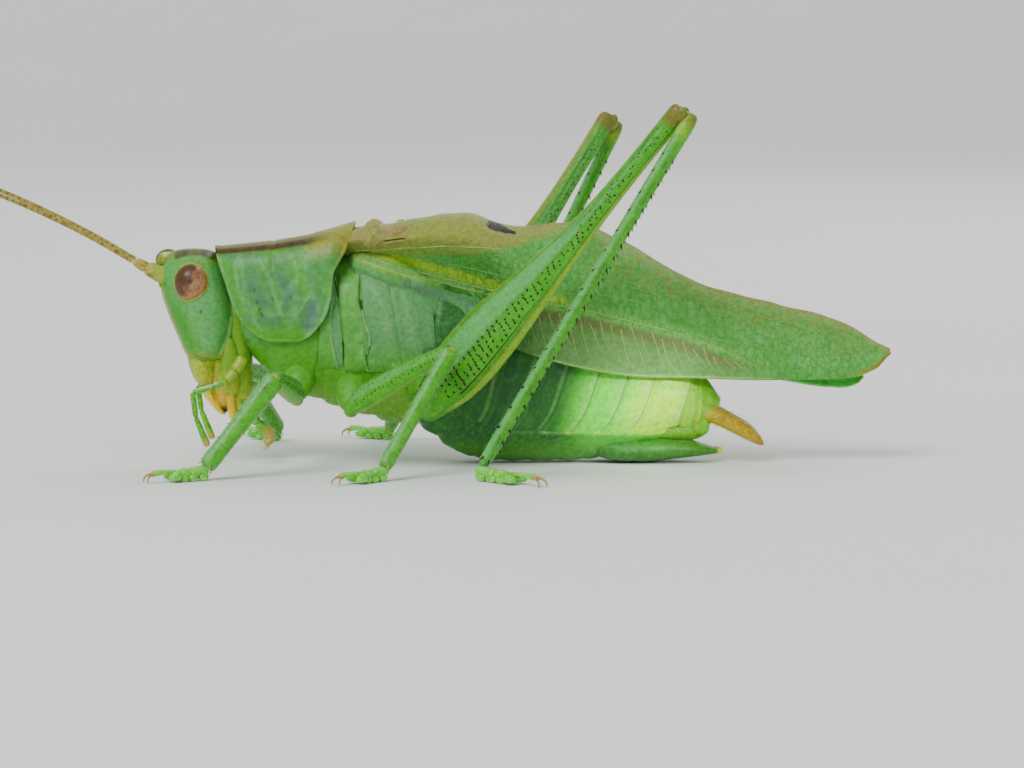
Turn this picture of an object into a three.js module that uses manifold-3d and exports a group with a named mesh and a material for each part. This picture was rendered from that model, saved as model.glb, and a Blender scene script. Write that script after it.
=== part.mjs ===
// A male meadow katydid, a long-horned grasshopper, life size, standing on a flat floor with its belly down.
// Millimetres, +Z up. The insect faces -X, its left side is -Y, and the floor is the plane z = 0.
// x is counted from the front of the face, and the whole group is centred over its own box at the end.
import * as THREE from "three";
import { mergeVertices } from "three/addons/utils/BufferGeometryUtils.js";
import Module from "manifold-3d";

const wasm = await Module();
wasm.setup();

const GAP = 0.04; // left between a piece and the neighbour that cuts it
const SMOOTHING = 0.008; // facets flatter than this are joined
const THINNEST = 0.25; // half of the least thickness of a feeler or a foot
const PRONOTUM_FRONT = 1.95;
const PRONOTUM_REAR = 6.98;
const PRONOTUM_HEM = 4.4; // height of the lower edge of its side lobes
const WING_BASE = 6.5;
const WING_TIP = 26.3;
const WING_THICKNESS = 0.5;
const FLAGELLUM_LENGTH = 36;
const FLAGELLUM_PIECES = 3;
const KNEE_RADIUS = 0.33;
const HIND_HINGE = 0.5; // how far below the end of its thigh a hind shin starts
const UP = new THREE.Vector3(0, 0, 1);
const FORWARD = new THREE.Vector3(-1, 0, 0);
const SIDES = { left: -1, right: 1 };

const COLOURS = {
  cuticle: [0x5fa84a, 0.45],
  mouth: [0xb4a02a, 0.45],
  eye: [0x8a5a48, 0.2],
  feeler: [0xa8843c, 0.6],
  pronotum: [0x6aab58, 0.4],
  belly: [0x74b83e, 0.45],
  wing: [0x7fae5c, 0.5],
  hindwing: [0x6fa373, 0.4],
  leg: [0x57b03c, 0.4],
  hind_leg: [0x4fae35, 0.4],
  cercus: [0xc9982a, 0.4],
};

const group = new THREE.Group();

// ---------------------------------------------------------------- helpers

// A smooth function through stations [position, value, value, ...]; it returns the list of values.
function profile(stations) {
  const width = stations[0].length - 1;
  const smooth = new THREE.CubicInterpolant(
    stations.map((s) => s[0]),
    stations.flatMap((s) => s.slice(1)),
    width,
  );
  return (t) => Array.from(smooth.evaluate(t)).slice(0, width);
}

// A closed geometry as a solid with its faces pointing out.
function solidOf(geometry) {
  geometry.deleteAttribute("normal");
  geometry.deleteAttribute("uv");
  const merged = mergeVertices(geometry, 1e-4);
  const triVerts = new Uint32Array(merged.index.array);
  const vertProperties = merged.getAttribute("position").array;
  const build = () => new wasm.Manifold(new wasm.Mesh({ numProp: 3, vertProperties, triVerts }));
  const made = build();
  if (made.volume() > 0) return made;
  for (let i = 0; i < triVerts.length; i += 3) {
    [triVerts[i + 1], triVerts[i + 2]] = [triVerts[i + 2], triVerts[i + 1]];
  }
  return build();
}

// A cylinder whose every point is moved by place(t, a, b): t runs along it, and (a, b) lies in the unit disc.
function loft(sides, rings, place) {
  const geometry = new THREE.CylinderGeometry(1, 1, 1, sides, rings);
  return moved(geometry, (p) => place(0.5 - p.y, p.z, p.x));
}

function moved(geometry, place) {
  const position = geometry.getAttribute("position");
  const point = new THREE.Vector3();
  for (let i = 0; i < position.count; i++) {
    const { x, y, z } = place(point.fromBufferAttribute(position, i));
    position.setXYZ(i, x, y, z);
  }
  return solidOf(geometry);
}

function ellipsoid(centre, radii, sides = 12, rings = 8) {
  const geometry = new THREE.SphereGeometry(1, sides, rings);
  return solidOf(geometry.scale(...radii).translate(...centre));
}

// A point of the unit disc pushed towards a rounded box: powers under 1 square the outline.
function squared(a, b, power) {
  const r = Math.hypot(a, b);
  if (r === 0) return [0, 0];
  const bend = (v) => Math.sign(v) * Math.abs(v / r) ** power * r;
  return [bend(a), bend(b)];
}

// A straight limb with stations [t, half depth, half width, shift]: depth and shift point towards "over".
function limb(start, end, over, stations, sides = 8, rings = 7) {
  const from = new THREE.Vector3(...start);
  const axis = new THREE.Vector3(...end).sub(from);
  const across = new THREE.Vector3().crossVectors(axis, over).normalize();
  const depthWays = new THREE.Vector3().crossVectors(across, axis).normalize();
  const size = profile(stations);
  return loft(sides, rings, (t, a, b) => {
    const [depth, width, shift = 0] = size(t);
    return from
      .clone()
      .addScaledVector(axis, t)
      .addScaledVector(depthWays, a * depth + shift)
      .addScaledVector(across, b * width);
  });
}

// A round cord of one thickness along a curve.
function cord(points, radius, steps) {
  const outline = new THREE.Shape().absarc(0, 0, radius, 0, 2 * Math.PI);
  const extrudePath = new THREE.CatmullRomCurve3(points);
  const settings = { extrudePath, steps, curveSegments: 3, bevelEnabled: false };
  return solidOf(new THREE.ExtrudeGeometry(outline, settings));
}

// A bent round limb through a few points whose thickness changes; stations are [t, radius].
function bentLimb(points, stations, { sides = 6, rings = 10, across = UP } = {}) {
  const curve = new THREE.CatmullRomCurve3(points.map((p) => new THREE.Vector3(...p)));
  const radius = profile(stations);
  return loft(sides, rings, (t, a, b) => {
    const tangent = curve.getTangentAt(t);
    const beside = new THREE.Vector3().crossVectors(tangent, across).normalize();
    const above = new THREE.Vector3().crossVectors(beside, tangent);
    const [r] = radius(t);
    return curve.getPointAt(t).addScaledVector(beside, a * r).addScaledVector(above, b * r);
  });
}

// The solid made a little larger all round, to cut a gap with.
function grown(solid) {
  const { min, max } = solid.boundingBox();
  const middle = min.map((v, i) => (v + max[i]) / 2);
  const factors = min.map((v, i) => 1 + (2 * GAP) / (max[i] - v));
  const back = middle.map((v) => -v);
  return solid.translate(back).scale(factors).translate(middle);
}

function without(solid, ...cutters) {
  const rest = cutters.reduce((left, cutter) => left.subtract(grown(cutter)), solid);
  const pieces = rest.decompose();
  return pieces.reduce((best, piece) => (piece.volume() > best.volume() ? piece : best));
}

function add(name, solid, finish) {
  const { vertProperties, triVerts } = solid.simplify(SMOOTHING).getMesh();
  const geometry = new THREE.BufferGeometry();
  geometry.setAttribute("position", new THREE.BufferAttribute(vertProperties, 3));
  geometry.setIndex(new THREE.BufferAttribute(triVerts, 1));
  geometry.computeVertexNormals();
  const [color, roughness] = COLOURS[finish];
  const mesh = new THREE.Mesh(geometry, new THREE.MeshStandardMaterial({ color, roughness, metalness: 0 }));
  mesh.name = name;
  group.add(mesh);
}

// ---------------------------------------------------------------- trunk: neck, thorax and abdomen

// Top, bottom and half width of the trunk along x. Where the belly would pass the floor it lies flat on it.
const trunk = profile([
  [2.5, 7.1, 5.0, 0.95],
  [3.6, 7.2, 3.3, 1.2],
  [5.0, 7.3, 2.45, 1.35],
  [6.2, 7.5, 2.05, 1.5],
  [7.2, 7.7, 1.75, 1.7],
  [8.4, 7.4, 1.4, 1.78],
  [9.6, 6.7, 1.3, 1.78],
  [11.0, 6.2, 0.72, 1.76],
  [12.2, 5.8, 0.1, 1.75],
  [13.5, 5.4, -0.3, 1.75],
  [15.3, 4.95, -0.3, 1.72],
  [17.3, 4.4, 0.05, 1.62],
  [18.75, 3.6, 0.95, 1.3],
  [19.6, 2.85, 1.15, 0.92],
  [20.1, 2.25, 1.45, 0.6],
]);
// The rings of the body lean back as they rise: by this much for each millimetre of height.
const trunkLean = profile([[2.5, 0], [6, 0.05], [9, 0.12], [14, 0.32], [20.1, 0.3]]);

// The part of the trunk between two stations; neighbours share the same leaning joint.
function trunkSlice(start, end, rings) {
  return loft(16, rings, (t, a, b) => {
    const x = start + GAP / 2 + (end - start - GAP) * t;
    const [top, bottom, width] = trunk(x);
    const [lean] = trunkLean(x);
    const [up, out] = squared(a, b, 0.88);
    const rise = ((top - bottom) / 2) * up;
    const z = Math.max((top + bottom) / 2 + rise, 0);
    return { x: x + lean * rise, y: out * width, z };
  });
}

// A short stout joint from inside the thorax to the hip.
function coxa(hip, sign, size) {
  const root = [hip[0] - 0.25, sign * (Math.abs(hip[1]) - 0.75), hip[2] + 1.1];
  return limb(root, hip, FORWARD, [
    [0, size * 0.7, size * 0.7],
    [0.5, size, size * 0.95],
    [0.85, size * 0.8, size * 0.75],
    [1, size * 0.5, size * 0.5],
  ], 8, 3);
}

// ---------------------------------------------------------------- legs

// hip, knee, ankle and toe of each leg; the feet lie on the floor.
const LEGS = {
  front_left: {
    hip: [4.95, -1.6, 2.5],
    knee: [4.35, -5.4, 3.5],
    ankle: [1.95, -6.3, 0.4],
    toe: [-0.1, -7.3, 0],
  },
  front_right: {
    hip: [4.95, 1.6, 2.5],
    knee: [2.5, 4.9, 3.0],
    ankle: [3.75, 7.5, 0.4],
    toe: [2.2, 9.1, 0],
  },
  mid_left: {
    hip: [6.8, -1.95, 2.1],
    knee: [10.5, -4.6, 4.45],
    ankle: [8.15, -6.6, 0.4],
    toe: [6.5, -8.1, 0],
  },
  mid_right: {
    hip: [6.8, 1.95, 2.1],
    knee: [9.7, 5.2, 4.45],
    ankle: [8.0, 7.9, 0.4],
    toe: [6.2, 9.3, 0],
  },
  hind_left: {
    hip: [9.4, -2.55, 2.1],
    knee: [18.62, -4.9, 12.95],
    ankle: [11.5, -6.5, 0.4],
    toe: [13.75, -8.6, 0],
  },
  hind_right: {
    hip: [9.4, 2.55, 2.1],
    knee: [16.35, 7.9, 12.35],
    ankle: [11.1, 9.4, 0.4],
    toe: [13.1, 11.6, 0],
  },
};

// [t, half depth, half width, shift] from hip to knee.
const HIND_FEMUR = [
  [0, 0.42, 0.3, -0.1],
  [0.06, 0.85, 0.5, -0.08],
  [0.2, 1.13, 0.68, -0.04],
  [0.35, 0.92, 0.6, -0.06],
  [0.46, 0.69, 0.48, -0.1],
  [0.6, 0.45, 0.36, -0.12],
  [0.8, 0.33, 0.29, -0.05],
  [0.93, 0.35, 0.3, 0],
  [0.98, 0.42, 0.35, 0.02],
  [1.02, 0.27, 0.25, 0.03],
];
const SLIM_FEMUR = [
  [0, 0.3, 0.28, 0],
  [0.15, 0.43, 0.34, 0.08],
  [0.5, 0.4, 0.32, 0.06],
  [0.85, 0.31, 0.28, 0.02],
  [0.96, 0.33, 0.29, 0],
  [1, 0.24, 0.22, 0],
];
const FRONT_TIBIA = [
  [0, 0.25, 0.25],
  [0.12, 0.34, 0.31],
  [0.4, 0.33, 0.3],
  [0.75, 0.28, 0.27],
  [1, 0.25, 0.25],
];
const TIBIA = [
  [0, 0.22, 0.22],
  [0.05, 0.29, 0.27],
  [0.2, 0.27, 0.26],
  [0.9, 0.25, 0.25],
  [1, 0.25, 0.25],
];
// [t, half width, height] from ankle to claws: four joints, the third broad with two lobes.
const TARSUS = profile([
  [0, 0.25, 0.5],
  [0.2, 0.28, 0.52],
  [0.36, 0.26, 0.5],
  [0.5, 0.36, 0.5],
  [0.6, 0.4, 0.46],
  [0.7, 0.26, 0.5],
  [0.9, 0.25, 0.5],
  [1, 0.25, 0.5],
]);

function tarsus({ ankle, toe }) {
  const heel = new THREE.Vector3(ankle[0], ankle[1], 0);
  const length = new THREE.Vector3(...toe).sub(heel);
  const across = new THREE.Vector3().crossVectors(length, UP).normalize();
  return loft(6, 8, (t, a, b) => {
    const [width, height] = TARSUS(t);
    const point = heel.clone().addScaledVector(length, t).addScaledVector(across, b * width);
    return point.setZ(height * THREE.MathUtils.clamp(0.5 + a, 0, 1));
  });
}

// Three solids for one leg, each cut clear of the one before it.
function leg(name, body) {
  const { hip, knee, ankle } = LEGS[name];
  const hind = name.startsWith("hind");
  const finish = hind ? "hind_leg" : "leg";
  const thigh = new THREE.Vector3(...knee).sub(new THREE.Vector3(...hip)).normalize();
  const dorsal = UP.clone().addScaledVector(thigh, -thigh.z).normalize();
  const hinge = new THREE.Vector3(...knee).addScaledVector(dorsal, hind ? -HIND_HINGE : 0);
  const shin = new THREE.Vector3(...ankle).sub(hinge).normalize();
  const start = hinge.addScaledVector(shin, KNEE_RADIUS * 0.6);
  const femur = without(limb(hip, knee, UP, hind ? HIND_FEMUR : SLIM_FEMUR, 8, hind ? 10 : 6), ...body);
  const foot = tarsus(LEGS[name]);
  const stations = name.startsWith("front") ? FRONT_TIBIA : TIBIA;
  const tibia = without(limb(start.toArray(), ankle, FORWARD, stations, 8, hind ? 6 : 4), femur, foot);
  add(`femur_${name}`, femur, finish);
  add(`tibia_${name}`, tibia, finish);
  add(`tarsus_${name}`, foot, finish);
}

// ---------------------------------------------------------------- head

// [t, z, front x, rear x, half width] from crown to cheeks.
const HEAD = profile([
  [0, 7.78, 0.6, 1.6, 0.12],
  [0.06, 7.68, 0.25, 1.95, 0.7],
  [0.15, 7.3, 0.03, 2.15, 1.12],
  [0.27, 6.85, -0.05, 2.32, 1.34],
  [0.4, 6.3, -0.06, 2.5, 1.46],
  [0.6, 5.4, 0.2, 2.68, 1.48],
  [0.8, 4.55, 0.56, 2.6, 1.38],
  [0.95, 3.9, 0.84, 2.35, 1.18],
  [1, 3.7, 0.95, 2.2, 1.05],
]);
const EYE_AT = [1.09, 1.22, 6.52];
const EYE_RADII = [0.57, 0.48, 0.67];
const FASTIGIUM_AT = [0.12, 0, 7.4];
const FASTIGIUM_RADII = [0.36, 0.3, 0.31];

function headCapsule() {
  const capsule = loft(16, 10, (t, a, b) => {
    const [z, front, rear, width] = HEAD(t);
    const [ahead, out] = squared(a, b, 0.92);
    const narrow = 1 - 0.22 * Math.max(ahead, 0);
    return { x: (front + rear) / 2 - (ahead * (rear - front)) / 2, y: out * width * narrow, z };
  });
  return capsule.add(ellipsoid(FASTIGIUM_AT, FASTIGIUM_RADII, 8, 6));
}

const mirrored = ([x, y, z], sign) => [x, sign * y, z];

// The path of a flagellum: it rises from the head, levels out and droops, and turns outwards as it goes.
function feelerPath(sign) {
  const points = [new THREE.Vector3(-0.98, sign * 0.62, 7.3)];
  const steps = FLAGELLUM_LENGTH;
  for (let i = 0; i < steps; i++) {
    const t = (i + 0.5) / steps;
    const pitch = THREE.MathUtils.degToRad(32 - 54 * t ** 0.9);
    const yaw = THREE.MathUtils.degToRad(2 + 28 * t);
    const way = new THREE.Vector3(-Math.cos(yaw) * Math.cos(pitch), sign * Math.sin(yaw), Math.sin(pitch));
    points.push(points[i].clone().add(way.normalize()));
  }
  return points;
}

function antenna(side, sign, head) {
  const scape = bentLimb(
    [[0.35, sign * 0.4, 6.66], [-0.2, sign * 0.5, 6.92], [-0.95, sign * 0.6, 7.28]],
    [[0, 0.28], [0.25, 0.32], [0.6, 0.26], [1, 0.25]],
    { sides: 8, rings: 6 },
  );
  add(`scape_${side}`, without(scape, head), "feeler");
  const path = feelerPath(sign);
  const steps = FLAGELLUM_LENGTH / FLAGELLUM_PIECES;
  for (let piece = 0; piece < FLAGELLUM_PIECES; piece++) {
    const run = path.slice(piece * steps, (piece + 1) * steps + 1);
    const last = run.length - 1;
    run[0] = run[0].clone().lerp(run[1], 0.04);
    run[last] = run[last].clone().lerp(run[last - 1], 0.04);
    add(`flagellum_${side}_${piece + 1}`, cord(run, THINNEST, 7), "feeler");
  }
}

function mouth(head) {
  const labrum = limb([1.22, 0, 3.62], [2.35, 0, 1.75], FORWARD, [
    [0, 0.26, 0.8, 0],
    [0.35, 0.28, 0.74, 0.06],
    [0.75, 0.26, 0.62, 0.1],
    [1, 0.25, 0.28, -0.02],
  ], 10, 4);
  add("labrum", labrum, "mouth");
  const maxillae = without(
    limb([2.55, 0, 4.6], [2.9, 0, 1.5], FORWARD, [
      [0, 0.2, 0.6],
      [0.2, 0.36, 0.92],
      [0.5, 0.4, 0.98],
      [0.8, 0.36, 0.8],
      [1, 0.25, 0.5],
    ], 10, 4),
    head,
  );
  add("maxillae", maxillae, "mouth");
  for (const [side, sign] of Object.entries(SIDES)) {
    const mandible = limb([1.9, sign * 0.6, 3.6], [2.3, sign * 0.3, 2.0], FORWARD, [
      [0, 0.52, 0.4],
      [0.4, 0.48, 0.42],
      [0.8, 0.3, 0.32],
      [1, 0.18, 0.2],
    ], 6, 3);
    add(`mandible_${side}`, without(mandible, labrum, maxillae).trimByPlane([0, sign, 0], GAP), "mouth");
    const maxillary = bentLimb(
      [[2.4, 1.15, 3.0], [1.8, 1.3, 2.9], [1.32, 1.35, 2.62], [1.34, 1.38, 1.85], [1.8, 1.32, 0.85]]
        .map((p) => mirrored(p, sign)),
      [[0, 0.2], [0.1, 0.25], [0.9, 0.25], [1, 0.2]],
      { rings: 9, across: new THREE.Vector3(0, 1, 0) },
    );
    add(`maxillary_palp_${side}`, without(maxillary, maxillae, labrum, mandible), "leg");
    const labial = bentLimb(
      [[3.0, 0.6, 2.2], [3.4, 0.75, 1.6], [3.9, 0.85, 0.95], [3.7, 0.85, 0.6]].map((p) => mirrored(p, sign)),
      [[0, 0.2], [0.3, 0.25], [0.9, 0.25], [1, 0.2]],
      { rings: 7, across: new THREE.Vector3(0, 1, 0) },
    );
    add(`labial_palp_${side}`, without(labial, maxillae), "mouth");
  }
}

// ---------------------------------------------------------------- pronotum

const pronotumTop = profile([[1.9, 7.82], [4.9, 8.17], [6.2, 8.5], [7.0, 8.76]]);
const pronotumWidth = profile([[1.9, 1.42], [3.5, 1.6], [5.2, 1.72], [7.0, 1.86]]);
// Front and rear edge of the saddle by its height: 0 at the hem of the lobes, 1 along the back.
const pronotumEdges = profile([
  [0, 3.7, 5.15],
  [0.2, 3.0, 5.85],
  [0.5, 2.5, 6.2],
  [0.75, 2.2, 6.6],
  [1, PRONOTUM_FRONT, PRONOTUM_REAR],
]);

function pronotumHull() {
  return loft(20, 5, (t, a, b) => {
    const [up, out] = squared(a, b, 0.72);
    const height = (1 + up) / 2;
    const [front, rear] = pronotumEdges(height);
    const x = front + (rear - front) * t;
    const [top] = pronotumTop(x);
    const [width] = pronotumWidth(x);
    return { x, y: out * width, z: PRONOTUM_HEM + (top - PRONOTUM_HEM) * height };
  });
}

// ---------------------------------------------------------------- wings

// Height of the back edge and of the lower edge, and half width, of a folded forewing along x.
const forewing = profile([
  [6.4, 8.4, 7.15, 1.75],
  [8.2, 8.55, 6.15, 2.0],
  [11.3, 8.98, 4.88, 2.25],
  [12.7, 8.45, 4.28, 2.28],
  [15.0, 8.76, 3.6, 2.2],
  [16.7, 8.0, 3.3, 2.05],
  [19.1, 6.6, 3.2, 1.65],
  [22.2, 5.74, 3.1, 1.25],
  [24.6, 5.12, 3.15, 0.95],
  [26.3, 4.12, 3.75, 0.6],
]);
const hindwing = profile([
  [9.0, 7.6, 6.9],
  [11.0, 7.7, 6.5],
  [15.0, 7.2, 5.2],
  [18.0, 6.0, 4.3],
  [21.0, 5.2, 3.3],
  [24.0, 4.3, 2.78],
  [25.3, 3.5, 2.95],
]);
const MIDLINE = 0.02; // each wing stops this far short of the middle

// A folded forewing: flat over the back near its base, and a steep roof behind.
function forewingSolid(sign) {
  const roundness = profile([[6.4, 0.55], [11.5, 0.6], [14.0, 0.95], [18, 1.2], [26.3, 1.25]]);
  const surface = (x, v) => {
    const [top, low, width] = forewing(x);
    const [power] = roundness(x);
    const turn = (v * Math.PI) / 2;
    return new THREE.Vector2(
      MIDLINE + (width - MIDLINE) * Math.sin(turn) ** power,
      low + (top - low) * Math.cos(turn) ** power,
    );
  };
  const geometry = new THREE.BoxGeometry(1, 1, 1, 18, 5, 1);
  return moved(geometry, (p) => {
    const x = WING_BASE + (WING_TIP - WING_BASE) * (p.x + 0.5);
    const v = p.y + 0.5;
    const outer = surface(x, v);
    if (p.z > 0) return { x, y: sign * outer.x, z: outer.y };
    const way = surface(x, Math.min(v + 0.05, 1)).sub(surface(x, Math.max(v - 0.05, 0))).normalize();
    const y = Math.max(outer.x + way.y * WING_THICKNESS, MIDLINE);
    return { x, y: sign * y, z: outer.y - way.x * WING_THICKNESS };
  });
}

// A hindwing folded to a narrow upright blade between the forewings.
function hindwingSolid(sign, ...around) {
  const geometry = new THREE.BoxGeometry(1, 1, 1, 9, 2, 1);
  const blade = moved(geometry, (p) => {
    const x = 9 + 16.3 * (p.x + 0.5);
    const [top, low] = hindwing(x);
    return { x, y: sign * (MIDLINE + WING_THICKNESS * (p.z + 0.5)), z: low + (top - low) * (p.y + 0.5) };
  });
  return without(blade, ...around);
}

// ---------------------------------------------------------------- abdomen

// The rings of the abdomen, as the middles of their joints along x; the last joint carries the tip.
const RINGS = [9.25, 10.7, 11.95, 13.1, 14.2, 15.3, 16.35, 17.35, 18.75];
const ABDOMEN_END = 20.1;
const PLATE_START = 17.0;
const PLATE_LENGTH = 3.15;

function abdomenRings(hips, roof) {
  return RINGS.slice(1).map((end, i) => {
    const besideHips = i === 0 ? hips : [];
    return without(trunkSlice(RINGS[i], end, 2), ...roof, ...besideHips);
  });
}

// The plate under the tip: it narrows and lifts off the floor towards its end.
function subgenitalPlate() {
  return loft(12, 6, (t, a, b) => {
    const width = 1.25 - 0.85 * t ** 1.3;
    const top = 1.08 - 0.6 * Math.max(t - 0.45, 0) / 0.55;
    const bottom = 0.26 * t ** 2;
    const [up, out] = squared(a, b, 0.9);
    const z = (top + bottom) / 2 + (up * (top - bottom)) / 1.9;
    return { x: PLATE_START + PLATE_LENGTH * t, y: out * width, z: Math.max(z, 0) };
  });
}

function cercus(sign) {
  const path = [
    [19.55, 0.62, 1.98],
    [20.2, 0.78, 1.62],
    [21.0, 0.7, 1.15],
    [21.7, 0.42, 0.72],
  ];
  const thickness = [[0, 0.3], [0.35, 0.31], [0.75, 0.27], [0.95, 0.2], [1, 0.1]];
  return bentLimb(path.map((p) => mirrored(p, sign)), thickness, { sides: 8, rings: 8 });
}

// ---------------------------------------------------------------- assembly

const sides = Object.entries(SIDES);
const eyes = sides.map(([, sign]) => ellipsoid(mirrored(EYE_AT, sign), EYE_RADII));
const head = without(headCapsule(), ...eyes);
add("head", head, "cuticle");
sides.forEach(([side], i) => add(`eye_${side}`, eyes[i], "eye"));
mouth(head);
for (const [side, sign] of sides) antenna(side, sign, head);

const hips = (pair, size) => sides.map(([side, sign]) => coxa(LEGS[`${pair}_${side}`].hip, sign, size));
const joined = (first, others) => others.reduce((whole, piece) => whole.add(piece), first);
const hindHips = hips("hind", 0.75);
const prothorax = joined(trunkSlice(2.72, 5.9, 4), hips("front", 0.55));
const mesothorax = joined(trunkSlice(5.9, 7.6, 2), hips("mid", 0.6));
const metathorax = joined(trunkSlice(7.6, RINGS[0], 2), hindHips);
const pronotum = without(pronotumHull(), head, prothorax, mesothorax);
add("prothorax", prothorax, "cuticle");
add("mesothorax", mesothorax, "cuticle");
add("metathorax", metathorax, "cuticle");
add("pronotum", pronotum, "pronotum");

const forewings = sides.map(([, sign]) => without(forewingSolid(sign), pronotum, mesothorax));
sides.forEach(([side], i) => add(`forewing_${side}`, forewings[i], "wing"));

const belly = abdomenRings(hindHips, forewings);
const tip = trunkSlice(RINGS.at(-1), ABDOMEN_END, 3);
belly.forEach((ring, i) => add(`abdomen_${i + 1}`, ring, "belly"));
add("abdomen_tip", tip, "belly");
add("subgenital_plate", without(subgenitalPlate(), ...belly, tip), "belly");
for (const [side, sign] of sides) {
  add(`cercus_${side}`, without(cercus(sign), tip), "cercus");
  add(`hindwing_${side}`, hindwingSolid(sign, ...forewings, ...belly, tip, metathorax), "hindwing");
}

const flanks = [prothorax, mesothorax, metathorax, ...belly.slice(0, 5), ...forewings];
for (const name of Object.keys(LEGS)) leg(name, flanks);

const box = new THREE.Box3().setFromObject(group);
const middle = box.getCenter(new THREE.Vector3());
group.position.set(-middle.x, -middle.y, -box.min.z);

export default group;
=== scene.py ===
import math

import bpy
import numpy as np
from mathutils import Matrix, Vector


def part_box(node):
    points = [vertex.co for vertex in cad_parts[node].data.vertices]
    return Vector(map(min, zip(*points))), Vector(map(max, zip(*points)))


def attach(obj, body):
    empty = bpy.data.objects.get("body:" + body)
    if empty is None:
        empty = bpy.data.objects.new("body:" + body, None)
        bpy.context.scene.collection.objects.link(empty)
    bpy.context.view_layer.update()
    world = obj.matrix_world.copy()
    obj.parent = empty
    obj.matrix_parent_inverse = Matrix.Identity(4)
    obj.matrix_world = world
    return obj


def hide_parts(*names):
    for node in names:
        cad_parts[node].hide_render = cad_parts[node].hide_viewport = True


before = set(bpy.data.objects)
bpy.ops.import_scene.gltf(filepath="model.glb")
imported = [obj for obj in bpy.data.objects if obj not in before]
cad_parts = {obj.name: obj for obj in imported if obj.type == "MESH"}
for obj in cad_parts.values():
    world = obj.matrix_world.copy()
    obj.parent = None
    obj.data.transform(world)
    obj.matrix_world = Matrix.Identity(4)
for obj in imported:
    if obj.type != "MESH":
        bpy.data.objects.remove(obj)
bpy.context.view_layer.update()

MM = 0.001
SIDES = {"left": -1, "right": 1}
UP = Vector((0, 0, 1))
FORWARD = Vector((-1, 0, 0))
BACKWARD = Vector((1, 0, 0))
KNOB_REACH = 0.24  # how far the knob between the feelers stands before the face
FOOT_LENGTH = 2.42  # heel to claw joint of the foot that all six are copied from
FLOOR_GAP = 0.012  # the belly's height over the floor where it lies lowest
CAMERA_TARGET = (12.64, 0, 2.83)
CAMERA_AWAY = 160
CAMERA_RISE = 5
VIEW_WIDTH = 37.1
SENSOR_WIDTH = 36
LAMP_AWAY = 0.25  # from the animal to each lamp, in metres
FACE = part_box("head")[0].x / MM + KNOB_REACH
MIDDLE = (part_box("forewing_left")[1].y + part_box("forewing_right")[0].y) / 2 / MM
HERE = Matrix.Scale(MM, 4) @ Matrix.Translation((FACE, MIDDLE, 0))
rng = np.random.default_rng(7)


# ------------------------------------------------------------------ places taken from the frame

def corners(node):
    """The lowest and the highest corner of a CAD node."""
    low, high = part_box(node)
    away = Vector((FACE, MIDDLE, 0))
    return low / MM - away, high / MM - away


def triples(data, field):
    """What each item of some mesh data holds in a field of three numbers."""
    found = np.empty(len(data) * 3, np.float32)
    data.foreach_get(field, found)
    return found.reshape(-1, 3).astype(float)


def points_of(node):
    return triples(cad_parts[node].data.vertices, "co") / MM - (FACE, MIDDLE, 0)


def ends(node, towards):
    """The middles of a long node's two ends; the first is the one nearer to a point."""
    co = points_of(node)
    centred = co - co.mean(0)
    axis = np.linalg.svd(centred, full_matrices=False)[2][0]
    along = centred @ axis
    reach = 0.04 * (along.max() - along.min())
    pair = [Vector(co[along < along.min() + reach].mean(0)), Vector(co[along > along.max() - reach].mean(0))]
    return sorted(pair, key=lambda end: (end - Vector(towards)).length)


def cut(nodes, origin, normal):
    """The points where a plane cuts the edges of some CAD nodes."""
    found = []
    for node in nodes:
        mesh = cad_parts[node].data
        co = points_of(node)
        pairs = np.empty(len(mesh.edges) * 2, np.int32)
        mesh.edges.foreach_get("vertices", pairs)
        start, end = co[pairs[::2]], co[pairs[1::2]]
        before = (start - np.array(origin)) @ np.array(normal)
        after = (end - np.array(origin)) @ np.array(normal)
        crossing = before * after < 0
        share = before[crossing] / (before[crossing] - after[crossing])
        found.append(start[crossing] + share[:, None] * (end - start)[crossing])
    return np.concatenate(found)


def smooth_between(stations):
    """A smooth function through (position, value, ...) stations; it gives one array for each value."""
    table = np.array(stations, float)
    where, values = table[:, 0], table[:, 1:]
    slopes = np.gradient(values, where, axis=0)

    def evaluate(position):
        position = np.clip(np.asarray(position, float), where[0], where[-1])
        i = np.clip(np.searchsorted(where, position) - 1, 0, len(where) - 2)
        gap = where[i + 1] - where[i]
        t = ((position - where[i]) / gap)[..., None]
        gap = gap[..., None]
        here, there = (1 + 2 * t) * (1 - t) ** 2, t * t * (3 - 2 * t)
        leaving, coming = t * (1 - t) ** 2, t * t * (t - 1)
        found = (
            here * values[i] + there * values[i + 1] + gap * (leaving * slopes[i] + coming * slopes[i + 1]))
        return np.moveaxis(found, -1, 0)

    return evaluate


# ------------------------------------------------------------------ modelling

def take(piece):
    """Makes a piece the one that the next operators act on."""
    bpy.ops.object.select_all(action="DESELECT")
    piece.select_set(True)
    bpy.context.view_layer.objects.active = piece
    return piece


def called(name):
    piece = bpy.context.object
    piece.name = name
    piece.data.name = name
    return piece


def added(name, primitive, **settings):
    """Adds a primitive with nothing else selected."""
    bpy.ops.object.select_all(action="DESELECT")
    getattr(bpy.ops.mesh, f"primitive_{primitive}_add")(**settings)
    return called(name)


def modified(piece, kind, **settings):
    """Adds a modifier and applies it at once."""
    take(piece)
    modifier = piece.modifiers.new(kind.lower(), kind)
    for key, value in settings.items():
        setattr(modifier, key, value)
    bpy.ops.object.modifier_apply(modifier=modifier.name)
    return piece


def edited(piece, operator, **settings):
    """Acts on all of a piece in edit mode."""
    take(piece)
    bpy.ops.object.mode_set(mode="EDIT")
    bpy.ops.mesh.select_all(action="SELECT")
    operator(**settings)
    bpy.ops.object.mode_set(mode="OBJECT")
    return piece


def facing_out(piece):
    return edited(piece, bpy.ops.mesh.normals_make_consistent, inside=False)


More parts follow.
